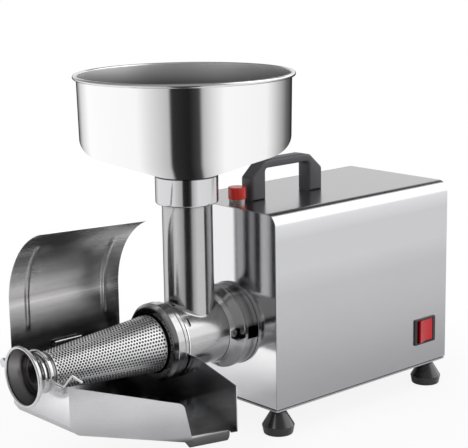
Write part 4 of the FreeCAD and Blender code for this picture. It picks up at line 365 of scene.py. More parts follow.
# Painted shade: the screen's inner skin and hole walls are near black so the holes look dark.
SCREEN_INSIDE_SHADE = Finish(
    "screen_inside_painted_shade", (0.015, 0.015, 0.015), 0.50, 1.0, 0.10, 0.06, Grain.EVEN, 900.0, 25.0, 0.03)
SCREEN_SEAM = Finish(
    "screen_seam", (0.30, 0.30, 0.30), 0.30, 1.0, 0.15, 0.08, Grain.ALONG_Y, 900.0, 25.0, 0.05)
# Painted shade: the outlet's inside and the screen's end ring are dark grey, with a painted highlight band at
# middle height.
OUTLET_INSIDE_SHADE = Finish(
    "outlet_inside_painted_shade", (0.30, 0.29, 0.29), 0.34, 1.0, 0.10, 0.06, Grain.ROUND_Y, 900.0, 25.0, 0.03,
    painted_light_heights=((88.0, 0.25), (100.0, 0.5), (114.0, 1.0), (124.0, 1.0), (136.0, 0.45), (152.0, 0.2)))
# Painted shade: crevices and pockets of the castings are painted near black.
CAST_POLISHED = Finish(
    "cast_polished", (0.46, 0.46, 0.465), 0.18, 1.0, 0.12, 0.08, Grain.EVEN, 350.0, 30.0, 0.05,
    painted_crevice_shade=0.97, reach=0.012)
# Painted shade on the nut's front face and in its crevices.
RING_NUT = Finish(
    "ring_nut", (0.46, 0.46, 0.465), 0.16, 1.0, 0.15, 0.08, Grain.ROUND_Y, 500.0, 30.0, 0.05,
    painted_crevice_shade=0.9, reach=0.008, axis="Y",
    painted_light_heights=((-117.8, 0.62), (-116.8, 0.62), (-115.5, 1.0), (-100.0, 1.0)))
# Painted shadow: a dark band at the collar's top where the bowl sits in it.
COLLAR_STEEL = Finish(
    "collar_steel", (0.60, 0.60, 0.61), 0.10, 1.0, 0.05, 0.04, Grain.ALONG_Z, 700.0, 20.0, 0.02,
    painted_light_heights=((270.0, 1.0), (302.0, 1.0), (302.8, 0.12), (304.0, 0.12)))
CAST_SATIN = Finish("cast_satin", (0.40, 0.36, 0.34), 0.35, 1.0, 0.12, 0.10, Grain.EVEN, 700.0, 30.0, 0.08)
CAST_ROUGH = Finish("cast_rough", (0.55, 0.55, 0.56), 0.50, 1.0, 0.15, 0.10, Grain.EVEN, 500.0, 22.0, 0.30)
MACHINED = Finish("machined", (0.52, 0.52, 0.54), 0.28, 1.0, 0.10, 0.08, Grain.ROUND_Y, 900.0, 30.0, 0.05)
ZINC = Finish("zinc", (0.66, 0.66, 0.69), 0.30, 1.0, 0.14, 0.10, Grain.EVEN, 600.0, 60.0, 0.05)
BRONZE = Finish("bronze", (0.60, 0.42, 0.20), 0.38, 1.0, 0.14, 0.08, Grain.EVEN, 800.0, 60.0, 0.10)
COPPER = Finish(
    "enamelled_copper", (0.62, 0.26, 0.12), 0.32, 1.0, 0.20, 0.10, Grain.ROUND_Y, 1600.0, 60.0, 0.40)
BLACK_PAINT = Finish("black_paint", (0.05, 0.05, 0.055), 0.38, 0.0, 0.20, 0.10, Grain.EVEN, 500.0, 30.0, 0.12)
CREAM_CAN = Finish("cream_can", (0.72, 0.71, 0.66), 0.40, 0.0, 0.10, 0.08, Grain.EVEN, 400.0, 30.0, 0.05)
BLACK_PLASTIC = Finish(
    "black_plastic", (0.012, 0.012, 0.013), 0.30, 0.0, 0.30, 0.10, Grain.EVEN, 900.0, 60.0, 0.06)
GREY_PLASTIC = Finish(
    "grey_plastic", (0.030, 0.030, 0.034), 0.26, 0.0, 0.20, 0.10, Grain.EVEN, 1100.0, 40.0, 0.10, 1.0, 0.8)
RED_CAP = Finish(
    "red_cap", (0.62, 0.025, 0.015), 0.30, 0.0, 0.12, 0.08, Grain.EVEN, 700.0, 80.0, 0.03, 0.25, 0.3)
RED_ROCKER = Finish(
    "red_rocker", (0.55, 0.004, 0.012), 0.22, 0.0, 0.12, 0.06, Grain.EVEN, 500.0, 70.0, 0.02, 0.25, 0.3)
AUGER_PLASTIC = Finish(
    "auger_plastic", (0.04, 0.04, 0.045), 0.40, 0.0, 0.15, 0.08, Grain.EVEN, 500.0, 30.0, 0.05)
GLOSS_RUBBER = Finish(
    "gloss_rubber", (0.008, 0.008, 0.009), 0.22, 0.0, 0.30, 0.10, Grain.EVEN, 500.0, 60.0, 0.05, 0.7)
DULL_RUBBER = Finish(
    "dull_rubber", (0.025, 0.025, 0.027), 0.65, 0.0, 0.25, 0.12, Grain.EVEN, 700.0, 60.0, 0.20)


# ---------------------------------------------------------------- surfaces
def rounded(points: Sequence[tuple[float, ...]], closed: bool = False, steps: int = 8) -> Array:
    """Line through corners, with a tangent arc at each corner that has a radius.

    An arc's centre lies on the bisector of its corner, radius / sin(half the angle) away from it, and its
    points are centre + radius * (cos t, sin t), with t running from one tangent point to the other.

    Args:
        points: corners as (u, v) or (u, v, radius).
        closed: whether the last corner joins the first.
        steps: stretches in each arc.

    Returns:
        Points of the line, one row (u, v) each.
    """
    corners = np.array([p[:2] for p in points], dtype=float)
    count = len(corners)
    parts = []
    for index, point in enumerate(points):
        corner = corners[index]
        radius = point[2] if len(point) > 2 else 0.0
        if radius == 0.0 or (not closed and index in (0, count - 1)):
            parts.append(corner[None])
            continue
        back = corners[index - 1] - corner
        ahead = corners[(index + 1) % count] - corner
        back /= np.linalg.norm(back)
        ahead /= np.linalg.norm(ahead)
        half = math.acos(float(np.clip(back @ ahead, -1.0, 1.0))) / 2
        bisector = (back + ahead) / np.linalg.norm(back + ahead)
        centre = corner + bisector * radius / math.sin(half)
        first = corner + back * radius / math.tan(half) - centre
        last = corner + ahead * radius / math.tan(half) - centre
        start = math.atan2(first[1], first[0])
        sweep = (math.atan2(last[1], last[0]) - start + math.pi) % (2 * math.pi) - math.pi
        t = start + np.linspace(0.0, 1.0, steps + 1) * sweep
        parts.append(centre + radius * np.stack([np.cos(t), np.sin(t)], axis=1))
    return np.concatenate(parts)


def inset(outline: Array, distance: float) -> Array:
    """Closed outline moved inwards along its mitred normals.

    Args:
        outline: points (u, v) of a closed line, counter-clockwise.
        distance: how far it moves to its left.

    Returns:
        The moved points.
    """
    ahead = np.roll(outline, -1, axis=0) - outline
    ahead /= np.linalg.norm(ahead, axis=1, keepdims=True)
    back = np.roll(ahead, 1, axis=0)
    left = np.stack([-ahead[:, 1], ahead[:, 0]], axis=1)
    mitre = left + np.stack([-back[:, 1], back[:, 0]], axis=1)
    mitre /= np.linalg.norm(mitre, axis=1, keepdims=True)
    return outline + mitre * (distance / np.sum(mitre * left, axis=1, keepdims=True))


def ring_faces(levels: int, around: int, close_levels: bool = False) -> Array:
    """Quads of a grid of closed loops, point m of loop k having the index k * around + m.

    Args:
        levels: number of loops.
        around: points in a loop.
        close_levels: whether the last loop joins the first.

    Returns:
        One row of four indices for each quad.
    """
    last = levels if close_levels else levels - 1
    k, m = np.meshgrid(np.arange(last), np.arange(around), indexing="ij")
    here, up, side = k * around, (k + 1) % levels * around, (m + 1) % around
    return np.stack([here + m, here + side, up + side, up + m], axis=-1).reshape(-1, 4)


def in_scene(name: str, data: bpy.types.ID) -> Piece:
    """New object of the scene that holds this data."""
    thing = bpy.data.objects.new(name, data)
    bpy.context.scene.collection.objects.link(thing)
    return thing


def solid_mesh(name: str, points: Array, faces: list[list[int]], sharp: float = 35.0) -> Piece:
    """Closed mesh object with its faces outward, smooth up to an angle.

    The volume is the sum over triangles of a . (b x c) / 6; where it is negative the faces are turned.

    Args:
        name: name of the object.
        points: vertices in millimetres, one row each.
        faces: vertex indices of each face.
        sharp: angle in degrees from which an edge is sharp.

    Returns:
        The object, linked to the scene.
    """
    mesh = bpy.data.meshes.new(name)
    mesh.from_pydata((points * MM).tolist(), [], faces)
    mesh.update()
    mesh.calc_loop_triangles()
    corners = np.empty(len(mesh.loop_triangles) * 3, dtype=np.int32)
    mesh.loop_triangles.foreach_get("vertices", corners)
    a, b, c = np.moveaxis(points[corners.reshape(-1, 3)], 1, 0)
    if np.sum(a * np.cross(b, c)) < 0:
        mesh.flip_normals()
    mesh.shade_smooth()
    mesh.set_sharp_from_angle(angle=math.radians(sharp))
    return in_scene(name, mesh)


def sheet_mesh(name: str, face: Array, back: Array, sharp: float = 40.0) -> Piece:
    """Closed sheet between two grids of points, joined along their border.

    Args:
        name: name of the object.
        face: points of one skin as rows, columns and coordinates.
        back: points of the other skin, in the same order.
        sharp: angle in degrees from which an edge is sharp.

    Returns:
        The object.
    """
    rows, columns = face.shape[:2]
    size = rows * columns
    at = np.arange(size).reshape(rows, columns)
    quads = np.stack([at[:-1, :-1], at[:-1, 1:], at[1:, 1:], at[1:, :-1]], axis=-1).reshape(-1, 4)
    border = np.concatenate([at[0, :-1], at[:-1, -1], at[-1, :0:-1], at[:0:-1, 0]])
    ahead = np.roll(border, -1)
    rim = np.stack([ahead, border, border + size, ahead + size], axis=-1)
    points = np.concatenate([face.reshape(-1, 3), back.reshape(-1, 3)])
    return solid_mesh(name, points, np.concatenate([quads, quads[:, ::-1] + size, rim]).tolist(), sharp)


def stacked(name: str, loops: Array, caps: bool = True, sharp: float = 35.0) -> Piece:
    """Closed body of loops stacked on each other, its two ends closed by a flat face or joined.

    Args:
        name: name of the object.
        loops: points as an array of loops, points in a loop and coordinates.
        caps: True closes each end with a face, False joins the last loop to the first.
        sharp: angle in degrees from which an edge is sharp.

    Returns:
        The object.
    """
    levels, around = loops.shape[:2]
    faces = ring_faces(levels, around, close_levels=not caps).tolist()
    if caps:
        faces.append(list(range(around))[::-1])
        faces.append([(levels - 1) * around + m for m in range(around)])
    return solid_mesh(name, loops.reshape(-1, 3), faces, sharp)


class Axis(Enum):
    """Direction of an axis of revolution, with the two directions across it."""

    DRIVE = ((0.0, -1.0, 0.0), (1.0, 0.0, 0.0), (0.0, 0.0, 1.0))
    UP = ((0.0, 0.0, 1.0), (1.0, 0.0, 0.0), (0.0, 1.0, 0.0))


def turned(profile: Array, axis: Axis, foot: Sequence[float], around: int = 96) -> Array:
    """Surface of revolution: (r, s) at the angle t goes to foot + s * axis + r * (cos t * side + sin t * up).

    Args:
        profile: points (radius, place along the axis).
        axis: direction of the axis.
        foot: point of the axis from which s counts.
        around: points in each loop.

    Returns:
        Array of loops, points and coordinates.
    """
    along, side, up = (np.array(v) for v in axis.value)
    t = np.linspace(0.0, 2 * math.pi, around, endpoint=False)
    spokes = np.cos(t)[:, None] * side + np.sin(t)[:, None] * up
    return np.array(foot) + profile[:, None, :1] * spokes[None] + profile[:, None, 1:2] * along


def finished(piece: Piece, finish: Finish, body: str, slot: str, *nodes: str) -> Piece:
    """Dress a new piece, put it on its body and let it stand for its nodes.

    Args:
        piece: the new object.
        finish: its finish.
        body: body that it rides on.
        slot: material slot of the record; not used.
        nodes: nodes that it replaces.

    Returns:
        The same object.
    """
    piece.data.materials.append(finish.material())
    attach(piece, body)
    if nodes:
        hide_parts(*nodes)
    LOG.info("built %s", piece.name)
    return piece


def lined(piece: Piece, linings: Sequence[Finish], kinds: Array) -> Piece:
    """Give some faces of a finished piece other finishes.

    Args:
        piece: the piece, with its first finish.
        linings: the other finishes.
        kinds: for each face 0 for the first finish, 1 for the first lining and so on.

    Returns:
        The same object.
    """
    for lining in linings:
        piece.data.materials.append(lining.material())
    piece.data.polygons.foreach_set("material_index", kinds.astype(np.int32))
    return piece


def dress(finish: Finish, *nodes: str) -> None:
    """Give nodes of the frame their finish.

    Args:
        finish: the finish.
        nodes: names of the nodes.
    """
    for name in nodes:
        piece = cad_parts[name]
        for place in piece.material_slots:
            place.material = finish.material()
        if not piece.material_slots:
            piece.data.materials.append(finish.material())
        LOG.info("dressed %s", name)


# ---------------------------------------------------------------- motor box
@dataclass
class MotorBox:
    """Cover, plates, feet and what stands inside."""

    def build(self) -> None:
        """Dress the box and everything in it."""
        dress(SATIN_COVER, "housing_cover", "base_plate", "rear_plate")
        dress(MIRROR_PLATE, "front_plate")
        dress(GLOSS_RUBBER, "foot_front_left", "foot_front_right", "foot_rear_left", "foot_rear_right")
        dress(DULL_RUBBER, "joint_strip", "cable_grommet", "shaft_seal")
        dress(ZINC, "foot_screws", "rear_screws", "handle_screws", "hub_screws", "locking_screw")
        dress(ZINC, "motor_cradle")
        dress(CAST_ROUGH, "gearbox_case", "gearbox_cover", "motor_cap_front", "motor_cap_rear")
        dress(MACHINED, "output_shaft", "output_gear", "layshaft", "layshaft_gear", "rotor_shaft")
        dress(MACHINED, "rotor_core", "stator_core", "motor_bearing_front", "motor_bearing_rear")
        dress(BRONZE, "output_bearing", "nose_bush")
        dress(COPPER, "stator_windings")
        dress(BLACK_PAINT, "motor_case")
        dress(BLACK_PLASTIC, "motor_fan", "switch_block")
        dress(CREAM_CAN, "capacitor")


@dataclass
class Handle:
    """Carrying handle: a bridge of constant width with all its edges rounded."""

    width: float = 20.0
    front: float = 38.0
    length: float = 115.0
    height: float = 46.0
    leg: float = 22.0
    grip: float = 10.0
    chamfer: float = 19.0
    corner: float = 4.5
    bend: float = 5.0
    crown: float = 10.0
    crown_drop: float = 2.0
    edge: float = 3.2

    def outline(self) -> Array:
        """Side view of the handle as (y, z), counter-clockwise."""
        front, top = depth(self.front), COVER_TOP + self.height
        back, under, shoulder = front + self.length, top - self.grip, top - self.crown_drop
        cut, bend = self.chamfer, self.bend
        corners = [
            (front, COVER_TOP), (front + self.leg, COVER_TOP), (front + self.leg, under, self.corner),
            (back - self.leg, under, self.corner), (back - self.leg, COVER_TOP), (back, COVER_TOP),
            (back, top - cut, bend), (back - cut, shoulder, bend), (back - cut - self.crown, top, bend),
            (front + cut + self.crown, top, bend), (front + cut, shoulder, bend), (front, top - cut, bend),
        ]
        return rounded(corners, closed=True, steps=5)

    def build(self) -> None:
        """Carry the outline round an edge: inset edge * (1 - sin a) at the width edge * (1 - cos a)."""
        line = self.outline()
        a = np.linspace(0.0, math.pi / 2, 5)
        insets = self.edge * (1 - np.sin(a))
        half = self.width / 2 - self.edge * (1 - np.cos(a))
        levels = list(zip(insets, half)) + list(zip(insets[::-1], -half[::-1]))
        loops = [np.column_stack([np.full(len(line), x), inset(line, d)]) for d, x in levels]
        finished(stacked("handle_bridge", np.array(loops)), GREY_PLASTIC, "frame", "grey_plastic", "handle")


@dataclass
class PushButton:
    """Round button on top of the cover."""

    def build(self) -> None:
        """Dress the cap, its ring and its spring."""
        dress(RED_CAP, "button_cap")
        dress(CAST_SATIN, "button_base")
        dress(ZINC, "button_spring")


@dataclass
class RockerSwitch:
    """Rocker switch in the side of the cover.

    Its sides are rows of the share of the way from back to face and the shares of its length and height.
    The slack is the gap to the bezel along and across, and the floor is the bezel's thickness at the back.
    """

    depth: float = 254.3
    level: float = 76.8
    half_length: float = 19.25
    half_height: float = 16.5
    proud: float = 2.0
    frame_side: float = 5.0
    frame_top: float = 2.2
    step: float = 1.3
    corner: float = 0.6
    body: float = 24.0
    floor: float = 2.0
    slack: tuple[float, float] = (0.9, 0.4)
    pivot: float = 7.0
    tilt: float = 8.0
    rocker_proud: float = 1.2
    dish: float = 1.8
    sides: tuple[Triple, ...] = (
        (0.0, 0.45, 1.0), (0.5, 0.72, 1.0), (0.93, 0.985, 1.0), (0.985, 0.995, 0.985), (1.0, 0.965, 0.965),
    )

    def rectangle(self, shrink_y: float, shrink_z: float, corner: float, x: float) -> Array:
        """Rounded rectangle parallel to the cover's side.

        Args:
            shrink_y: how much smaller than the bezel its half length is.
            shrink_z: how much smaller than the bezel its half height is.
            corner: radius of its corners.
            x: how far out it stands.

        Returns:
            Its points.
        """
        y, z = self.half_length - shrink_y, self.half_height - shrink_z
        line = rounded([(-y, -z, corner), (y, -z, corner), (y, z, corner), (-y, z, corner)], True, 5)
        line += (depth(self.depth), self.level)
        return np.column_stack([np.full(len(line), x), line])

    def bezel(self) -> None:
        """Stack rectangles from the back of the body, over the rounded rim and down into the opening."""
        root, face, back = COVER_SIDE, COVER_SIDE + self.proud, COVER_SIDE - self.body
        side, top, step, corner = self.frame_side, self.frame_top, self.step, self.corner
        loops = [self.rectangle(*row) for row in (
            (step, step, corner, back), (step, step, corner, root), (0.0, 0.0, 1.6, root),
            (0.0, 0.0, 1.6, face - 0.9), (0.25, 0.25, 1.5, face - 0.3), (0.9, 0.9, 1.2, face),
            (side - 0.6, top - 0.5, 0.9, face), (side - 0.15, top - 0.12, 0.7, face - 0.25),
            (side, top, corner, face - 0.8), (side, top, corner, back + self.floor),
        )]
        piece = stacked("bezel_frame", np.array(loops))
        finished(piece, BLACK_PLASTIC, "frame", "black_plastic", "switch_bezel")

    def rocker(self) -> None:
        """Rocker with a dished face: x falls by dish * (1 - (y / half)^2) towards the pivot line.

        Its sides spread from the back to the face, its rim is rounded, and loops that shrink to the middle
        close the face. The whole is turned by the tilt about the pivot.
        """
        half_y = self.half_length - self.frame_side - self.slack[0]
        half_z = self.half_height - self.frame_top - self.slack[1]
        face = self.proud + self.rocker_proud
        back = self.proud - self.pivot - 3.0
        rows = [*self.sides, *((1.0, s, s) for s in np.linspace(0.9, 0.06, 14))]
        unit = rounded([(-1, -1, 0.06), (1, -1, 0.06), (1, 1, 0.06), (-1, 1, 0.06)], True, 4)
        along = np.linspace(0.0, 1.0, 9)[:-1, None]
        unit = (unit[:, None] + along * (np.roll(unit, -1, 0) - unit)[:, None])
        unit = unit.reshape(-1, 2)
        loops = []
        for share, wide, tall in rows:
            y, z = unit[:, 0] * half_y * wide, unit[:, 1] * half_z * tall
            front = face - self.dish * (1 - (y / half_y) ** 2)
            loops.append(np.column_stack([back + share * (front - back), y, z]))
        points = np.array(loops)
        turn = math.radians(self.tilt)
        x, y = points[..., 0] - (self.proud - self.pivot), points[..., 1].copy()
        points[..., 0] = COVER_SIDE + self.proud - self.pivot + x * math.cos(turn) - y * math.sin(turn)
        points[..., 1] = depth(self.depth) + x * math.sin(turn) + y * math.cos(turn)
        points[..., 2] += self.level
        piece = stacked("rocker_paddle", points, sharp=50.0)
        finished(piece, RED_ROCKER, "rocker", "red_plastic", "switch_rocker")

    def build(self) -> None:
        """Make the bezel and the rocker."""
        self.bezel()
        self.rocker()


# ---------------------------------------------------------------- strainer
@dataclass
class StrainerBody:
    """Nose hub, cast body and ring nut."""

    def build(self) -> None:
        """Dress the castings."""
        dress(CAST_POLISHED, "nose_hub", "strainer_body")
        dress(RING_NUT, "ring_nut")


@dataclass
class Screen:
    """Perforated cone: staggered round holes and two plain seams.

    Even columns of holes start on row 0 and odd ones half a row later. Each cell has an eight-sided hole and
    eight border points on a lattice of half columns and half rows, so that neighbours share them.
    """

    rear: float = 110.0
    front: float = 252.0
    rear_r: float = 32.6
    front_r: float = 20.6
    sheet: float = 0.8
    flange_back: float = 104.0
    flange_front: float = 106.0
    flange_r: float = 38.3
    columns: int = 52
    rows: int = 37
    first: float = 112.4
    pitch: float = 3.68
    hole_r: float = 1.32
    seams: tuple[int, ...] = (3, 17)

    @property
    def wide(self) -> int:
        """Points in one ring of the lattice."""
        return 2 * self.columns

    @property
    def tall(self) -> int:
        """Rings of the lattice."""
        return 2 * self.rows + 2

    def radius(self, distance: float | Array) -> float | Array:
        """Outer radius of the cone at a station."""
        share = (distance - self.rear) / (self.front - self.rear)
        return self.rear_r + (self.front_r - self.rear_r) * share

    def around(self, u: Array, radius: float | Array, distance: float | Array) -> Array:
        """Points of rings about the drive axis.

        Args:
            u: half columns from the top towards +X.
            radius: radius of the ring.
            distance: its station.

        Returns:
            Points with their coordinates in the last place.
        """
        turn = u * math.pi / self.columns
        y = station(distance) + np.zeros(np.shape(turn))
        return np.stack([radius * np.sin(turn), y, DRIVE_Z + radius * np.cos(turn)], axis=-1)

    def on_cone(self, u: Array, v: Array, sink: float) -> Array:
        """Points of the cone for u half columns around and v half rows along, sunk below the outer skin."""
        along = self.first + v * self.pitch / 2
        return self.around(u, self.radius(along) - sink, along).reshape(-1, 3)

    def cells(self) -> tuple[Array, Array, Array]:
        """Cells of the pattern.

        Returns:
            Lattice numbers of the eight border points of each cell, half columns and half rows of its
            hole's eight points, and whether it has a hole.
        """
        i, j = np.divmod(np.arange(self.columns * self.rows)[:, None], self.rows)
        middle_u, middle_v = 2 * i, 2 * j + 1 + i % 2
        around_u, around_v = np.array([[-1, 0, 1, 1, 1, 0, -1, -1], [-1, -1, -1, 0, 1, 1, 1, 0]])
        border = (middle_v + around_v) * self.wide + (middle_u + around_u) % self.wide
        angle = np.arctan2(around_v, around_u)
        step = 2 * math.pi * self.radius(self.first + middle_v * self.pitch / 2) / self.wide
        hole_u = middle_u + self.hole_r * np.cos(angle) / step
        hole_v = middle_v + self.hole_r * np.sin(angle) / (self.pitch / 2)
        return border, np.stack([hole_u, hole_v]), ~np.isin(i[:, 0], self.seams)

    def half_cells(self) -> list[Array]:
        """Plain half cells that fill the rows between the staggered columns at the two ends."""
        ends = []
        for start, v in ((2, 0), (0, self.tall - 2)):
            u = np.arange(start, self.wide, 4)
            six = ((-1, 0), (0, 0), (1, 0), (1, 1), (0, 1), (-1, 1))
            ends.append(np.stack([(u + du) % self.wide + (v + dv) * self.wide for du, dv in six], axis=-1))
        return ends

    def build(self) -> None:
        """Make both skins, the walls of the holes, the rim at the front and the flange at the rear."""
        border, hole, is_open = self.cells()
        size, row = self.wide * self.tall, np.arange(self.wide)
        holes = size + np.arange(is_open.sum() * 8).reshape(-1, 8)
        skin, end = size + holes.size, size - self.wide
        nets = (np.meshgrid(row, np.arange(self.tall)), hole[:, is_open])
        points = [self.on_cone(*net, sink) for sink in (0.0, self.sheet) for net in nets]
        plain = (
            (self.radius(self.flange_front), self.flange_front), (self.flange_r, self.flange_front),
            (self.flange_r, self.flange_back), (self.radius(self.flange_back) - self.sheet, self.flange_back),
            (self.front_r, self.front), (self.front_r - self.sheet, self.front),
        )
        points += [self.around(row, *ring) for ring in plain]
        rings = [2 * skin + k * self.wide + row for k in range(len(plain))]
        onward = np.roll(np.arange(8), -1)
        edge = border[is_open]
        cells = np.stack([edge, edge[:, onward], holes[:, onward], holes], axis=-1).reshape(-1, 4)
        walls = np.stack([holes + skin, holes[:, onward] + skin, holes[:, onward], holes], -1).reshape(-1, 4)
        outer = [cells, border[~is_open], *self.half_cells()]
        parts = [part[:, ::-1] for part in outer] + [part + skin for part in outer] + [walls]
        for chain in ([row, *rings[:4], skin + row], [skin + end + row, rings[5], rings[4], end + row]):
            for a, b in zip(chain, chain[1:]):
                parts.append(np.stack([a, np.roll(a, -1), np.roll(b, -1), b], axis=-1))
        used, renumbered = np.unique(np.concatenate([part.ravel() for part in parts]), return_inverse=True)
        ends = np.cumsum(np.concatenate([np.full(len(part), part.shape[1]) for part in parts]))[:-1]
        faces = [face.tolist() for face in np.split(renumbered, ends)]
        # The inner skin and the hole walls take the painted shade of the inside.
        kinds = [0, 2] + [0] * (len(outer) - 2) + [1] * (len(parts) - len(outer))
        piece = solid_mesh("screen_skin", np.concatenate(points)[used], faces, sharp=30.0)
        finished(piece, SCREEN_STEEL, "frame", "screen_steel", "filter_screen")
        lined(piece, (SCREEN_INSIDE_SHADE, SCREEN_SEAM), np.repeat(kinds, [len(part) for part in parts]))


@dataclass
class WasteEnd:
    """End ring, flared outlet and auger.

    The outlet's inside bends a shift ahead of its outside, and both skins end where the rim meets them.
    """

    neck: float = 262.0
    sleeve: float = 6.0
    length: float = 19.5
    bend: float = 6.0
    bend_r: float = 8.0
    lip: float = 3.0
    shift: float = 0.6
    meets: float = 1.65
    inner_r: float = 21.2
    mouth_r: float = 31.8
    sheet: float = 1.0
    bead_r: float = 1.7

    def build(self) -> None:
        """Turn the outlet from its sleeve out to the rolled rim and back along its inside.

        The rim is a circle of bead_r about (mouth_r - sheet / 2, face), entered and left where the two skins
        of the sheet meet it, at bead_r * (cos t, sin t) with t from -73 to 253 degrees.
        """
        face = self.neck + self.length - self.bead_r
        outer_r = self.inner_r + self.sheet
        bent = self.neck + self.bend
        outside = rounded([
            (outer_r, self.neck - self.sleeve), (outer_r, bent, self.bend_r),
            (self.mouth_r, face - self.lip, self.lip), (self.mouth_r, face - self.meets),
        ])
        t = np.radians(np.linspace(-73.0, 253.0, 20))[1:-1]
        middle, inner = self.mouth_r - self.sheet / 2, self.mouth_r - self.sheet
        rim = np.column_stack([middle + self.bead_r * np.cos(t), face + self.bead_r * np.sin(t)])
        inside = rounded([
            (inner, face - self.meets), (inner, face - self.lip + self.shift, self.lip / 2),
            (self.inner_r, bent + self.shift, self.bend_r + self.sheet),
            (self.inner_r, self.neck - self.sleeve),
        ])
        profile = np.concatenate([outside, rim, inside])
        loops = turned(profile, Axis.DRIVE, (0.0, station(0.0), DRIVE_Z), 128)
        piece = stacked("flared_outlet", loops, caps=False)
        finished(piece, SPUN_STEEL, "frame", "stainless_sheet", "waste_outlet")
        lined(piece, (OUTLET_INSIDE_SHADE,), np.repeat(np.arange(len(profile)) >= len(outside) + len(rim), 128))
        # The screen's end ring takes the outlet's painted shade too.
        dress(OUTLET_INSIDE_SHADE, "screen_end_ring")
        dress(AUGER_PLASTIC, "auger_core", "auger_flight")


@dataclass
class Hopper:
    """Round bowl with a rolled rim on its collar.

    The bowl's inner corner lies a lift above the outer one. The skins end at the levels bead_meets from the
    bead's middle, the outer one first.
    """

    throat_r: float = 25.0
    collar_r: float = 35.5
    foot: float = 304.0
    bowl_r: float = 118.8
    corner_r: float = 117.3
    corner_z: float = 333.06
    corner: float = 21.0
    sheet: float = 1.0
    foot_bend: float = 3.0
    lift: float = 0.7
    bead_r: float = 2.3
    bead_z: float = 415.2
    bead_meets: tuple[float, float] = (-1.2, 0.6)

    def build(self) -> None:
        """Turn the bowl: up its outside, round the rolled rim and down its inside.

        The rim is a circle of bead_r about the height bead_z, bead_r outside the middle of the wall's sheet,
        and its points are centre + bead_r * (cos t, sin t) with t from 202 to 522 degrees.
        """
        outside = rounded([
            (self.throat_r, self.foot), (self.collar_r, self.foot, self.foot_bend),
            (self.corner_r, self.corner_z, self.corner), (self.bowl_r, self.bead_z + self.bead_meets[0]),
        ], steps=16)
        centre = self.bowl_r - self.sheet / 2 + self.bead_r
        t = np.radians(np.linspace(202.0, 522.0, 28))
        rim = np.column_stack([centre + self.bead_r * np.cos(t), self.bead_z + self.bead_r * np.sin(t)])
        sheet, floor = self.sheet, self.foot + self.sheet
        inside = rounded([
            (self.bowl_r - sheet, self.bead_z + self.bead_meets[1]),
            (self.corner_r - sheet, self.corner_z + self.lift, self.corner - sheet),
            (self.collar_r, floor, self.foot_bend + sheet), (self.throat_r, floor),
        ], steps=16)
        profile = np.concatenate([outside, rim, inside])
        piece = stacked("hopper_bowl", turned(profile, Axis.UP, (0.0, HOPPER_Y, 0.0), 192), caps=False)
        finished(piece, BOWL_OUTSIDE, "hopper", "stainless_sheet", "hopper_floor", "hopper_wall")
        kinds = np.zeros(len(profile))
        kinds[len(outside) - 1:] = 2
        kinds[len(outside) + len(rim) - 1:] = 1
        lined(piece, (BOWL_INSIDE, SPUN_STEEL), np.repeat(kinds, 192))
        dress(COLLAR_STEEL, "hopper_collar")


def eased(share: Array) -> Array:
    """Share from 0 to 1 with level ends: 3 s^2 - 2 s^3."""
    share = np.clip(share, 0.0, 1.0)
    return share * share * (3 - 2 * share)


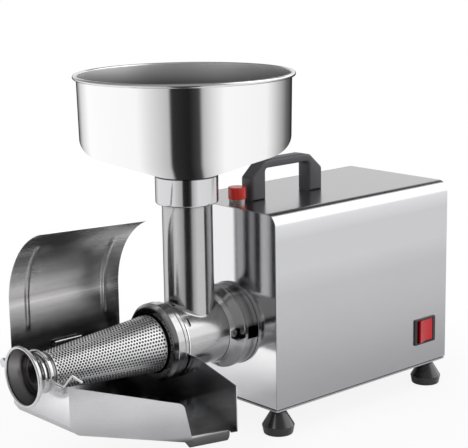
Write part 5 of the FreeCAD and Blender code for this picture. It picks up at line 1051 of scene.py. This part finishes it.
@dataclass
class SplashGuard:
    """Bent sheet with two pressed ribs, hinged to the tray.

    Pairs hold a value at the front and at the rear. A rib ends over the length and the turn of rib_ease.
    """

    inner_x: float = -54.0
    front: float = 257.2
    rear: float = 112.0
    foot: float = 107.5
    bend_r: tuple[float, float] = (88.8, 87.4)
    rise: tuple[float, float] = (63.5, 58.8)
    turn: tuple[float, float] = (75.0, 68.0)
    sheet: float = 1.0
    ribs: tuple[float, ...] = (235.5, 133.5)
    rib_half: float = 4.2
    rib_proud: float = 1.6
    rib_foot: float = 148.0
    rib_turn: tuple[float, float] = (49.0, 43.0)
    rib_ease: tuple[float, float] = (6.0, 0.07)
    hinge_x: float = -57.4
    knuckle_r: float = 3.4
    knuckle_bore: float = 1.55
    knuckles: tuple[tuple[float, float], ...] = ((209.2, 227.1), (142.1, 160.0))
    gaps: tuple[tuple[float, float], ...] = ((227.1, 245.3), (123.9, 142.1))
    gap: float = 4.4

    def along(self, pair: tuple[float, float], at: Array) -> Array:
        """Value that goes straight from the pair's front to its rear, at these stations."""
        return pair[0] + (pair[1] - pair[0]) * (self.front - at) / (self.front - self.rear)

    def skin(self) -> tuple[Array, Array]:
        """Inner and outer skin on a grid of stations and places along the section.

        The section goes straight up from the foot and then round an arc about (inner_x + r, rise above the
        drive axis): (centre - r cos t, rise + r sin t). Both skins stand proud by the rib's height times
        (1 + cos(pi d / half)) / 2, with d the distance from the rib's middle line, easing out at its ends.

        Returns:
            The two grids of points.
        """
        steps = [edge + shift for span in self.gaps for edge in span for shift in (-0.02, 0.02)]
        near = [rib + np.linspace(-self.rib_half, self.rib_half, 17) for rib in self.ribs]
        at = np.unique(np.concatenate([np.linspace(self.rear, self.front, 49), steps, *near]))[:, None]
        radius, turn = self.along(self.bend_r, at), np.radians(self.along(self.turn, at))
        start = DRIVE_Z + self.along(self.rise, at)
        notched = np.zeros(at.shape, dtype=bool)
        for low, high in self.gaps:
            notched |= (at > low) & (at < high)
        foot = self.foot + np.where(notched, self.gap, 0.0)
        up = np.linspace(0.0, 1.0, 40)
        arc = turn * np.linspace(0.0, 1.0, 49)[1:]
        t = np.concatenate([np.zeros((len(at), len(up))), arc], axis=1)
        height = np.concatenate([foot + (start - foot) * up, start + radius * np.sin(arc)], axis=1)
        across = self.inner_x + radius * (1 - np.cos(t))
        rib = np.zeros(at.shape)
        for middle in self.ribs:
            away = (at - middle) / self.rib_half
            rib += np.where(abs(away) < 1.0, (1 + np.cos(math.pi * away)) / 2, 0.0)
        last = np.radians(self.along(self.rib_turn, at))
        ends = eased((height - self.rib_foot) / self.rib_ease[0]) * eased((last - t) / self.rib_ease[1])
        proud = self.rib_proud * rib * ends
        inward = np.stack([np.cos(t), np.zeros(t.shape), -np.sin(t)], axis=-1)
        inner = np.stack([across, station(at) + np.zeros(t.shape), height], axis=-1)
        inner += inward * proud[..., None]
        return inner, inner - inward * self.sheet

    def build(self) -> None:
        """Make the sheet and its two knuckles, each a ring with a square section turned about the hinge."""
        sheet = sheet_mesh("guard_sheet", *self.skin())
        finished(sheet, GUARD_SHEET, "guard", "mirror_steel", "splash_guard")
        for place, (start, end) in zip(("front", "rear"), self.knuckles):
            bore, outer = self.knuckle_bore, self.knuckle_r
            section = np.array([(bore, start), (outer, start), (outer, end), (bore, end)])
            loops = turned(section, Axis.DRIVE, (self.hinge_x, station(0.0), self.foot), 32)
            knuckle = stacked("guard_knuckle_" + place, loops, caps=False)
            finished(knuckle, GUARD_SHEET, "guard", "mirror_steel")


@dataclass
class JuiceTray:
    """Juice tray and the wire that holds the screen."""

    def build(self) -> None:
        """Dress the folded sheet and the wires."""
        dress(BRIGHT_SHEET, "juice_tray")
        dress(ZINC, "guard_hinge_pin", "bail_rivet")
        dress(SPUN_STEEL, "retaining_wire", "guard_staple")


# ---------------------------------------------------------------- studio
@dataclass
class Studio:
    """White surroundings, a pale floor, soft lamps and the camera.

    Each row of stops holds degrees from the bearing of the camera with the brightness there.
    """

    camera_at: Triple = (1166.65, -1030.93, 569.34)
    yaw: float = FRONT_BEARING
    pitch: float = 12.035
    roll: float = -0.9275
    lens: float = 106.02
    floor_r: float = 700.0
    ceiling: float = 0.45
    even: Colour = (0.62, 0.62, 0.63)
    high: Stops = (
        (-180, 0.04), (-165, 0.05), (-140, 0.30), (-60, 0.45), (-45, 0.40), (0, 0.32), (45, 0.45), (65, 1.4),
        (80, 2.1), (130, 2.1), (145, 0.06), (180, 0.04),
    )
    low: Stops = (
        (-180, 0.95), (-165, 0.85), (-135, 0.35), (-60, 0.35), (-45, 0.40), (0, 0.32), (45, 0.40), (60, 1.0),
        (78, 1.6), (138, 1.6), (162, 1.0), (180, 0.95),
    )
    below: Stops = (
        (-180, 0.03), (-160, 0.05), (-142, 0.75), (-122, 1.15), (-50, 1.10), (-36, 0.85), (-15, 0.55),
        (-12.5, 0.03), (6, 0.012), (17, 0.06), (20.5, 0.55), (30, 0.80), (44, 1.10), (98, 1.05), (118, 0.60),
        (140, 0.16), (160, 0.03), (180, 0.03),
    )

    def camera(self) -> None:
        """Point the camera: yaw from +Y towards -X, then pitch down, then roll about the line of sight."""
        yaw, pitch, roll = (math.radians(a) for a in (self.yaw, self.pitch, self.roll))
        ahead = Vector((-math.sin(yaw) * math.cos(pitch), math.cos(yaw) * math.cos(pitch), -math.sin(pitch)))
        right = Vector((math.cos(yaw), math.sin(yaw), 0.0))
        up = right.cross(ahead)
        side = right * math.cos(roll) + up * math.sin(roll)
        top = -right * math.sin(roll) + up * math.cos(roll)
        data = bpy.data.cameras.new("camera")
        data.lens = self.lens
        data.sensor_width = 36.0
        data.sensor_fit = "HORIZONTAL"
        holder = in_scene("camera", data)
        turn = Matrix((side, top, -ahead)).transposed().to_4x4()
        holder.matrix_world = Matrix.Translation(Vector(self.camera_at) * MM) @ turn
        bpy.context.scene.camera = holder

    def bands(self, wiring: Wiring) -> Socket:
        """Brightness of the surroundings by compass direction: pale walls with dark panels between them.

        The bearing is atan2(x, -y) less the camera's bearing, wrapped to half a turn either way. One ramp of
        it holds below the horizon, a second low above it, a third high up and a plain ceiling over all.

        Args:
            wiring: nodes of the world.

        Returns:
            Socket with the colour.
        """
        split = wiring.add("SeparateXYZ", {0: wiring.add("TexCoord").outputs["Generated"]}).outputs
        bearing = wiring.math("ARCTAN2", split["X"], wiring.math("MULTIPLY", split["Y"], -1.0))
        relative = wiring.math("SUBTRACT", bearing, math.radians(self.yaw))
        share = wiring.way(wiring.math("WRAP", relative, math.pi, -math.pi), -math.pi, math.pi, smooth=False)
        tone = (self.ceiling, self.ceiling, self.ceiling, 1.0)
        for stops, start, end in ((self.high, 0.86, 0.96), (self.low, 0.36, 0.50), (self.below, 0.0, 0.06)):
            ramp = wiring.ramp(share, [((angle + 180.0) / 360.0, value) for angle, value in stops])
            inputs = {"Factor": wiring.way(split["Z"], start, end), 6: ramp, 7: tone}
            tone = wiring.add("Mix", inputs, data_type="RGBA").outputs[2]
        return tone

    def world(self) -> None:
        """White to the camera and through clear things, banded to mirrors, plain and even to the rest."""
        world = bpy.data.worlds.new("studio")
        world.use_nodes = True
        world.node_tree.nodes.clear()
        wiring = Wiring(world.node_tree)
        path = wiring.add("LightPath").outputs
        plain = wiring.add("Background", {"Color": (*self.even, 1.0)})
        banded = wiring.add("Background", {"Color": self.bands(wiring)})
        white = wiring.add("Background", {"Color": WHITE})
        seen = wiring.math("MAXIMUM", path["Is Camera Ray"], path["Is Transmission Ray"])
        final = wiring.mixed(seen, wiring.mixed(path["Is Glossy Ray"], plain, banded), white)
        wiring.add("OutputWorld", {"Surface": final.outputs[0]})
        bpy.context.scene.world = world

    def floor(self) -> None:
        """Round floor just under the feet, white to the camera but for the soft shadow near the object.

        To mirrors it is a pale floor close by, and it gives way to the surroundings as the ray gets longer.
        """
        t = np.linspace(0.0, 2 * math.pi, 96, endpoint=False)
        r = np.array([40.0, 200.0, 450.0, self.floor_r])
        flat = (r[:, None, None] * np.stack([np.cos(t), np.sin(t)], axis=1)).reshape(-1, 2)
        points = np.column_stack([flat, np.full(len(flat), -0.2)])
        mesh = bpy.data.meshes.new("floor")
        faces = ring_faces(len(r), len(t)).tolist() + [list(range(len(t)))]
        mesh.from_pydata((points * MM).tolist(), [], faces)
        piece = in_scene("floor", mesh)
        material = bpy.data.materials.new("pale_floor")
        material.use_nodes = True
        material.node_tree.nodes.clear()
        wiring = Wiring(material.node_tree)
        path = wiring.add("LightPath").outputs
        dull = wiring.add("BsdfDiffuse", {"Color": (0.85, 0.85, 0.85, 1.0)})
        white = wiring.add("Emission", {"Color": WHITE})
        far = wiring.vector("LENGTH", wiring.add("TexCoord").outputs["Object"])
        fade = wiring.math("MULTIPLY", path["Is Camera Ray"], wiring.way(far, 0.25, 0.60, least=0.88))
        gone = wiring.math("MULTIPLY", path["Is Glossy Ray"], wiring.way(path["Ray Length"], 0.12, 0.55))
        final = wiring.mixed(gone, wiring.mixed(fade, dull, white), wiring.add("BsdfTransparent"))
        wiring.add("OutputMaterial", {"Surface": final.outputs[0]})
        mesh.materials.append(material)

    def lamps(self) -> None:
        """Two large soft lamps, one high at the left of the camera and a weaker one at its right."""
        for name, place, size, power in (
            ("lamp_left", (300.0, -1900.0, 1700.0), 1.5, 26.0),
            ("lamp_right", (1900.0, 300.0, 1300.0), 1.2, 9.0),
        ):
            data = bpy.data.lights.new(name, "AREA")
            data.size = size
            data.energy = power
            lamp = in_scene(name, data)
            at = Vector(place) * MM
            aim = (Vector((0.0, 0.0, 0.18)) - at).to_track_quat("-Z", "Y")
            lamp.matrix_world = Matrix.Translation(at) @ aim.to_matrix().to_4x4()
            lamp.visible_glossy = False

    def build(self) -> None:
        """Set up everything round the object."""
        self.camera()
        self.world()
        self.floor()
        self.lamps()
        bpy.context.scene.view_settings.view_transform = "Standard"


def main() -> None:
    """Build and dress the sub-assemblies in order, then the studio, and log each as it is finished."""
    logging.basicConfig(level=logging.INFO, format="%(message)s")
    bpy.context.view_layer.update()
    for part in (MotorBox(), Handle(), PushButton(), RockerSwitch(), StrainerBody(), Screen(), WasteEnd(),
                 Hopper(), SplashGuard(), JuiceTray(), Studio()):
        part.build()
        LOG.info("finished %s", type(part).__name__)


if __name__ == "__main__":
    main()
